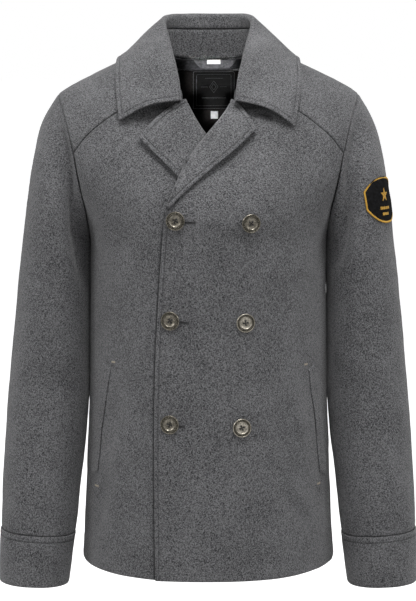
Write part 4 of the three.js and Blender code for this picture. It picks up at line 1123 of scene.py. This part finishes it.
bpy.ops.mesh.primitive_cylinder_add(vertices=56, radius=0.0095, depth=0.0018, location=(0, 0, 0.0009))
button = bpy.context.object
button.data.materials.append(worn_rim)
button.data.materials.append(dark_patina)
bpy.ops.object.mode_set(mode="EDIT")
bpy.ops.mesh.select_mode(type="FACE")
choose(button.data, lambda face: face.normal.z > 0.9)
bpy.ops.transform.resize(value=(1.3, 1.3, 1))
bpy.ops.mesh.extrude_region_move(TRANSFORM_OT_translate={"value": (0, 0, 0.001)})
for inward, upward, finish in (
    (0.0004, 0.0005, 0),
    (0.0006, 0.0001, 0),
    (0.0004, -0.0006, 0),
    (0.0024, 0.0, 1),
    (0.0003, 0.0005, 0),
    (0.0007, 0.0001, 0),
    (0.0005, -0.0006, 0),
    (0.0012, -0.0004, 0),
    (0.001, -0.0004, 0),
    (0.0006, -0.0001, 0),
):
    bpy.ops.mesh.inset(thickness=inward, depth=upward)
    if finish:
        work = bmesh.from_edit_mesh(button.data)
        ring = {other for face in work.faces if face.select for edge in face.edges for other in edge.link_faces}
        for face in ring:
            face.material_index = 0 if face.select else 1
        bmesh.update_edit_mesh(button.data)
bpy.ops.object.mode_set(mode="OBJECT")
bpy.ops.object.shade_smooth_by_angle(angle=math.radians(35))
for turn in range(4):
    angle = (turn + 0.5) * QUARTER
    bpy.ops.mesh.primitive_cylinder_add(
        vertices=14, radius=0.00135, depth=0.02, location=(0.0027 * math.cos(angle), 0.0027 * math.sin(angle), 0)
    )
    drill = bpy.context.object
    drill.data.materials.append(dark_patina)
    cut = button.modifiers.new("hole", "BOOLEAN")
    cut.object = drill
    cut.operation = "DIFFERENCE"
    cut.solver = "EXACT"
    bpy.context.view_layer.objects.active = button
    bpy.ops.object.modifier_apply(modifier=cut.name)
    bpy.data.objects.remove(drill)
button_height = max(v.co.z for v in button.data.vertices) * 1000
template = button.data
bpy.data.objects.remove(button)

BUTTON_SCALE = np.array((1.02, 1.02, 1))
BEADS = 32
ROPE_RADIUS = 9.75
button_turns = {
    "lap_top": 0.3, "lap_middle": -0.2, "lap_bottom": 0.5,
    "inner_top": 0.1, "inner_middle": 0.9, "inner_bottom": -0.4,
}
crossings = []
for name, (x, z) in button_places.items():
    seat, facing = laid_on("left", x, z, 0.4)
    lean = button_turns[name]
    across = unit(np.cross(np.array([0, 0, 1.0]), facing))
    up = np.cross(facing, across)
    across, up = across * math.cos(lean) + up * math.sin(lean), up * math.cos(lean) - across * math.sin(lean)
    place = np.stack([across, up, facing], axis=1)
    disc = bpy.data.objects.new(f"metal_button_{name}", template.copy())
    bpy.context.collection.objects.link(disc)
    for vertex in disc.data.vertices:
        vertex.co = Vector((place @ (np.array(vertex.co) * 1000 * BUTTON_SCALE) + seat) / 1000)
    if name in ("inner_bottom", "inner_middle"):
        disc.data.materials[0] = bright_rim
    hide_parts(f"button_{name}")
    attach(disc, "root")
    beads = np.arange(BEADS) * (2 * PI / BEADS)
    ring = across * np.cos(beads)[:, None] + up * np.sin(beads)[:, None]
    tangent = np.cross(facing, ring)
    rope_way = unit(tangent * 0.8 + ring * 0.6)
    facings = np.repeat(facing[None], BEADS, axis=0)
    middles = seat + ring * ROPE_RADIUS + facing * (button_height - 0.55)
    sew(
        f"rope_ring_{name}", worn_rim,
        [(middles, rope_way, facings, np.full(BEADS, 2.1), np.full(BEADS, 0.95))],
    )
    for diagonal in (1, 3):
        angle = diagonal * QUARTER / 2
        way = across * math.cos(angle) + up * math.sin(angle)
        side = np.cross(facing, way)
        for strand in (-0.4, 0.4):
            crossings.append((
                (seat + side * strand + facing * (button_height - 1.25))[None], way[None], facing[None],
                np.array([6.2]), np.array([0.6]),
            ))
sew("button_thread", thread_material("dark_thread", (0.016, 0.016, 0.017)), crossings)

# Pockets. On each front a slanting welt of the wool, topstitched down along its outer edge, with a
# stitched corner above and below its opening and a small pale bar tack in each corner.
WELT_CLOTH = 1.5
pale_thread = thread_material("pale_thread", (0.36, 0.32, 0.26))
pockets = {
    "left": {
        "opening": ((135.4, -431.7), (147.5, -523.2), (152.2, -579.9)),
        "outer": ((147.4, -425.5), (159.4, -520), (164.4, -589.5)),
        "corners": (
            ((119.3, -428.7), (130.6, -407.4), (145.3, -423.2)),
            ((156.9, -587.4), (152.3, -605.4), (146.8, -593.8)),
        ),
        "tacks": ((132.1, -424.8), (151.9, -594)),
    },
    "right": {
        "opening": ((-132, -428.5), (-143.6, -506), (-152.2, -578.3)),
        "outer": ((-145.6, -424), (-157, -510), (-165.4, -593)),
        "corners": (((-119.1, -429.6), (-142.6, -421.7)), ((-164.8, -596.5), (-155, -615.3), (-147.7, -596.6))),
        "tacks": ((-129.4, -421.3), (-154.5, -598.4)),
    },
}
pocket_rows = []
tack_rows = []
for (hand, pocket), out in zip(pockets.items(), (1, -1)):
    sides = []
    for name in ("opening", "outer"):
        line = np.array(pocket[name], float)
        sides.append([curve(along_line(line, 0) / along_line(line, 0)[-1], line[:, k]) for k in (0, 1)])

    def surface(u, w):
        u, w = np.broadcast_arrays(np.asarray(u, float), np.asarray(w, float))
        x = mix(sides[0][0](1 - u), sides[1][0](1 - u), w)
        z = mix(sides[0][1](1 - u), sides[1][1](1 - u), w)
        down = np.maximum(ease((w - 0.72) / 0.25), ease((np.abs(2 * u - 1) - 0.95) / 0.05))
        return laid_on(hand, x, z, mix(2.1, 0.15, down)[..., None])[0]

    close = (0.7, 1.3, 1.7, 2.1, 2.7, 3.6)
    us, ws = lay_out(surface, (0, 1), (0, 1), plain, plain, (0.8, 1.7, 3.0), close, 3.5, 2.5)
    edges = ("plain", "plain", "plain", "stitched")
    welt, panel = cloth_shell(f"welt_{hand}", coat_wool, surface, us, ws, WELT_CLOTH, -out, edges=edges, inset=2.6)
    hang(welt, f"pocket_welt_{hand}", cut_size(surface, us, ws), held="laid", rests_on=[f"front_{hand}"])
    pocket_rows.append(spread_stitches(seam_line(panel, 3, 1.8, 1, 1)))
    for corner in pocket["corners"]:
        corner = np.array(corner, float)
        at = np.linspace(0, 1, 60)
        reach = along_line(corner, 0) / along_line(corner, 0)[-1]
        x, z = (np.interp(at, reach, corner[:, k]) for k in (0, 1))
        pocket_rows.append(spread_stitches(laid_on(hand, x, z, 0.12), 3.3, 2.4))
    for x, z in pocket["tacks"]:
        bar = laid_on(hand, np.linspace(x - 2.4, x + 2.4, 12), np.full(12, z), 0.35)
        tack_rows.append(spread_stitches(bar, 0.62, 2.9, 0.8, QUARTER))
sew("pocket_stitching", grey_thread, pocket_rows)
sew("bar_tacks", pale_thread, tack_rows)

# Inside of the neck. A dark facing band below the collar's seam and a black twill lining below it,
# which hangs in soft folds from the band down the inside of the back.
twill_weave, given = start_group("twill_weave", two_tones, {"Color": "Color", "Height": "Float"})
ribs = wire(
    twill_weave, "ShaderNodeTexWave",
    {"Vector": given["Vector"], "Scale": 420.0, "Distortion": 0.6, "Detail": 1.0}, bands_direction="DIAGONAL",
)
slubs = wire(
    twill_weave, "ShaderNodeTexNoise", {"Vector": given["Vector"], "Scale": 260.0, "Detail": 3.0}
)
spread = wire(
    twill_weave, "ShaderNodeMapRange", {"Value": slubs.outputs[0], "From Min": 0.35, "From Max": 0.65}
)
twill_tone = wire(
    twill_weave, "ShaderNodeMix",
    {0: spread.outputs[0], 6: given["Dark"], 7: given["Pale"]}, data_type="RGBA",
)
wire(twill_weave, "NodeGroupOutput", {"Color": twill_tone.outputs[2], "Height": ribs.outputs["Fac"]})


def twill_material(name, dark, pale, roughness=0.8, sheen=0.0):
    settings = {"Roughness": roughness, "Specular IOR Level": 0.06, "Sheen Weight": sheen}
    return surface_of(name, twill_weave, settings, (0.35, 0.0003), Dark=dark, Pale=pale)


FACING_REACH = 4 / 12
LAST_ROW = 0.845
FACING_CLOTH = 1.2
LINING_CLOTH = 0.8
LABEL = 0.6


def inside_back(x, z, depth):
    def at(px, pz):
        return body_point(1, px, rise_at(px, pz))

    across = at(x + 0.5, z) - at(x - 0.5, z)
    up = at(x, z + 0.5) - at(x, z - 0.5)
    return at(x, z) + unit(np.cross(across, up)) * depth


def facing_low(u):
    return 1 - 0.1 * (1 - 0.35 * (back_top(u)[0] / 76.5) ** 2)


def within(base, depth):
    def surface(u, w):
        return base(u, w) + normal_of(base, u, w, 1) * depth

    return surface


def facing_band(u, w):
    return back_surface(u, mix(facing_low(u), 1.016, w))


def lining_sheet(u, w):
    top = mix(facing_low(u) + 0.003, 0.855, ease((np.abs(u) - FACING_REACH / 2) * 6))
    above = np.maximum(0, (w - LAST_ROW) / (1 - LAST_ROW))
    return back_surface(u, np.where(w > LAST_ROW, mix(LAST_ROW, top, above), w))


surface = within(facing_band, CLOTH + 2 + FACING_CLOTH)
us, ws = lay_out(surface, (-FACING_REACH, FACING_REACH), (0, 1), seam, seam, plain, seam, 4, 4)
facing_twill = twill_material("facing_twill", (0.014, 0.014, 0.0155), (0.034, 0.034, 0.037))
band, panel = cloth_shell(
    "neck_band", facing_twill, surface, us, ws, FACING_CLOTH, 1, edges=("seam", "seam", "plain", "seam")
)
hang(band, "neck_facing", cut_size(surface, us, ws), "lining_cloth", held="hung")
sew("band_stitching", thread_material("black_thread", (0.008, 0.008, 0.008)), [
    spread_stitches(seam_line(panel, 2, 2.2), 3.0, 2.2),
])

lining_folds = [
    (1, ((-46, -66), (-40, -100), (-30, -150)), 1.6, 6),
    (1, ((-24, -80), (-16, -120), (-8, -170)), -1.2, 6),
    (1, ((34, -70), (22, -112), (10, -160)), 1.5, 6),
    (1, ((-100, -120), (-80, -190), (-64, -280)), 2.2, 10),
    (1, ((96, -120), (80, -200), (70, -290)), 2.2, 10),
    (1, ((-20, -200), (-10, -250), (-14, -300)), -1.8, 12),
]
surface = within(lining_sheet, CLOTH + 1.5 + LINING_CLOTH)
us, ws = lay_out(surface, (-11 / 12, 11 / 12), (-1 / 7, 1), plain, plain, plain, plain, 7, 6)
lining_twill = twill_material("black_lining", (0.0035, 0.003, 0.003), (0.0085, 0.0075, 0.007), 0.65, 0.015)
lining, _ = cloth_shell(
    "back_lining", lining_twill, surface, us, ws, LINING_CLOTH, 1, edges=("plain",) * 4, folds=lining_folds
)
hang(lining, "lining_back", cut_size(surface, us, ws), "lining_cloth", held="hung")

# Hanger loop, label and tags. A grey tape loop below the collar's seam with a bare white tag over
# it, a black woven label with a plain framed pattern, and a bare white size tag below the label.
ON_LINING = CLOTH + 1.5 + LINING_CLOTH + 1 + LABEL
ON_FACING = CLOTH + 2 + FACING_CLOTH + 0.4


def flat_inside(name, node, slot, material, x, wide, high, low, depth, thick, narrow=0.0, sag=0.0, turned=0.0):
    """A flat piece inside the back, wide by its height; turned is the part folded under, in metres."""
    def surface(u, w):
        half = wide / 2 * (1 - narrow * (1 - w) ** 1.5)
        drop = sag * (1 - (2 * u - 1) ** 4)
        return inside_back(x + half * (2 * u - 1), mix(low, high, w) - drop, depth)

    us, ws = lay_out(surface, (0, 1), (0, 1), (0.4, 1.0), (0.4, 1.0), (0.4, 1.0), (0.4, 1.0), 1.6, 1.6)
    piece, panel = cloth_shell(name, material, surface, us, ws, thick, 1, edges=("",) * 4)
    across, along, area = cut_size(surface, us, ws)
    hang(piece, node, (across, along + turned, area), slot, held="folded" if turned else "laid", rests_on=["back"])
    return surface, panel


tape = twill_material("grey_tape", (0.05, 0.05, 0.053), (0.11, 0.11, 0.117))
_, panel = flat_inside(
    "tape_loop", "hanger_loop", "loop_tape", tape, 9.5, 61, -11.5, -24.5, ON_FACING + 0.8, 0.8, 0.33, 0.6
)
loop_rows = [spread_stitches(seam_line(panel, side, 1.4, 2, 2), 2.4, 1.8, 0.4) for side in (2, 3)]
sew("loop_stitching", grey_thread, loop_rows)
white = twill_material("white_tape", (0.76, 0.76, 0.76), (0.88, 0.88, 0.88))
flat_inside(
    "tag_on_loop", "loop_tag", "white_tape", white, 8, 20, -11, -17.5, ON_FACING + 1.8, LABEL, turned=0.008
)
# The white size tag is coloured mid grey: painted shade for its place deep in the neck.
tag_white_with_painted_shade = twill_material("tag_white_with_painted_shade", (0.3, 0.3, 0.3), (0.42, 0.42, 0.42))
_, panel = flat_inside(
    "bare_size_tag", "size_tag", "size_tag_cloth", tag_white_with_painted_shade, 9, 11, -88.6, -99.9, ON_LINING, LABEL
)
tag_rows = [spread_stitches(seam_line(panel, side, 1.0, 1, 1), 1.8, 1.3, 0.3) for side in (2, 3)]
sew("tag_stitching", grey_thread, tag_rows)
label_black = twill_material("label_black", (0.003, 0.003, 0.003), (0.006, 0.006, 0.006))
label_surface, _ = flat_inside(
    "woven_label", "neck_label", "label_cloth", label_black, 8, 63, -28, -86, ON_LINING, LABEL
)


def on_label(line, lift=0.2):
    """A line drawn on the label in its own width and height, with the label's normals."""
    line = np.array(line, float)
    at = np.linspace(0, 1, 60)
    reach = along_line(line, 0) / along_line(line, 0)[-1]
    u, w = (np.interp(at, reach, line[:, k]) for k in (0, 1))
    n = normal_of(label_surface, u, w, 1)
    p = label_surface(u, w)
    return p + n * (unevenness(p) + lift)[..., None], n


label_lines = []
for inset, width in ((0.025, 1.0), (0.1, 0.6)):
    low, high = inset, 1 - inset
    frame_line = ((low, low), (high, low), (high, high), (low, high), (low, low))
    label_lines.append(spread_stitches(on_label(frame_line), 1.5, 1.6, width))
DIAMOND_HEIGHT = 0.58
for size in (0.055, 0.1):
    foot, head = DIAMOND_HEIGHT - 1.5 * size, DIAMOND_HEIGHT + 1.5 * size
    diamond = ((0.5, foot), (0.5 + size, DIAMOND_HEIGHT), (0.5, head), (0.5 - size, DIAMOND_HEIGHT), (0.5, foot))
    label_lines.append(spread_stitches(on_label(diamond), 1.1, 1.3, 0.7))
for start, end, height, width in (
    (0.2, 0.36, DIAMOND_HEIGHT, 0.9), (0.64, 0.8, DIAMOND_HEIGHT, 0.9), (0.22, 0.78, 0.3, 1.6), (0.3, 0.7, 0.8, 0.7)
):
    label_lines.append(spread_stitches(on_label(((start, height), (end, height))), 1.2, 1.4, width))
sew("label_pattern", thread_material("label_thread", (0.055, 0.057, 0.06), 0.1), label_lines)

# Sleeve patch. A black twill patch sewn round the outside of the left sleeve, with a thick gold
# overlocked edge and a star over two plain bars in gold satin stitch.
PATCH = 1.1
PATCH_Z = -205
patch_sleeve = sleeve_surface(1)


def on_patch(u, z, lift=0.0):
    """A point of the patch, from its back end to its front end and at a height, with the normal."""
    u, z = np.broadcast_arrays(np.asarray(u, float), np.asarray(z, float))
    turn = mix(-0.06, 1.36, u)
    low, high = np.zeros(u.shape), np.full(u.shape, 0.6)
    for _ in range(24):
        middle = (low + high) / 2
        above = patch_sleeve(turn, middle)[..., 2] > z
        low, high = np.where(above, middle, low), np.where(above, high, middle)
    n = normal_of(patch_sleeve, turn, low, 1)
    p = patch_sleeve(turn, low)
    relief = unevenness(p) + crease_relief(p, sleeve_creases)
    return p + n * (relief + SEAM + PATCH + lift)[..., None], n


def patch_half(u):
    return 31 * (1 - 0.62 * np.abs(2 * u - 1) ** 2.6)


def patch_surface(u, w):
    u, w = np.broadcast_arrays(np.asarray(u, float), np.asarray(w, float))
    return on_patch(u, PATCH_Z + patch_half(u) * (2 * w - 1))[0]


us, ws = np.meshgrid(np.linspace(0, 1, 60), np.linspace(0, 1, 40), indexing="ij")
patch_black = twill_material("patch_black", (0.006, 0.006, 0.006), (0.013, 0.013, 0.014))
patch, _ = cloth_shell("sleeve_patch", patch_black, patch_surface, us, ws, PATCH, -1, edges=("",) * 4)
hang(patch, "sleeve_badge", cut_size(patch_surface, us, ws), "badge_cloth", held="laid", rests_on=["sleeve_top_left"])


def satin(outline, pitch=0.75):
    """Satin stitches that fill an outline, given round the patch's middle in millimetres."""
    outline = np.array(outline, float)
    after = np.roll(outline, -1, axis=0)
    rows = []
    for height in np.arange(outline[:, 1].min() + pitch / 2, outline[:, 1].max(), pitch):
        crossing = (outline[:, 1] > height) != (after[:, 1] > height)
        share = (height - outline[crossing, 1]) / (after[crossing, 1] - outline[crossing, 1])
        ends = np.sort(mix(outline[crossing, 0], after[crossing, 0], share))
        for start, end in zip(ends[::2], ends[1::2]):
            if end - start > 0.5:
                count = max(1, round((end - start) / 6))
                part = (end - start) / count
                rows += [(start + (end - start) * (k + 0.5) / count, height, part) for k in range(count)]
    across, up, length = np.array(rows).T
    u = 0.56 + across / 84
    p, n = on_patch(u, PATCH_Z + up, 0.25)
    way = unit(on_patch(u + 0.01, PATCH_Z + up, 0.25)[0] - on_patch(u - 0.01, PATCH_Z + up, 0.25)[0])
    return p, way, n, length + 0.5, np.full(len(rows), 0.95)


star_reach = [(10.5, 4.3)[k % 2] for k in range(10)]
star = [(r * math.sin(k * PI / 5), 7 + r * math.cos(k * PI / 5)) for k, r in enumerate(star_reach)]
bars = [((-half, low), (half, low), (half, low + 3.4), (-half, low + 3.4)) for half, low in ((13, -12.5), (9, -20.5))]
round_u = np.concatenate(
    [np.linspace(0.01, 0.99, 120), np.full(24, 0.99), np.linspace(0.99, 0.01, 120), np.full(24, 0.01)]
)
round_w = np.concatenate([np.full(120, 1), np.linspace(1, 0, 24), np.zeros(120), np.linspace(0, 1, 24)])
rim = on_patch(round_u, PATCH_Z + (patch_half(round_u) - 1) * (2 * round_w - 1), 0.2)
gold_thread = thread_material("gold_thread", (0.6, 0.34, 0.035), 0.5)
overlocked = spread_stitches(rim, 0.85, 2.8, 1.1, QUARTER)
sew("patch_embroidery", gold_thread, [satin(star), *(satin(bar) for bar in bars), overlocked])
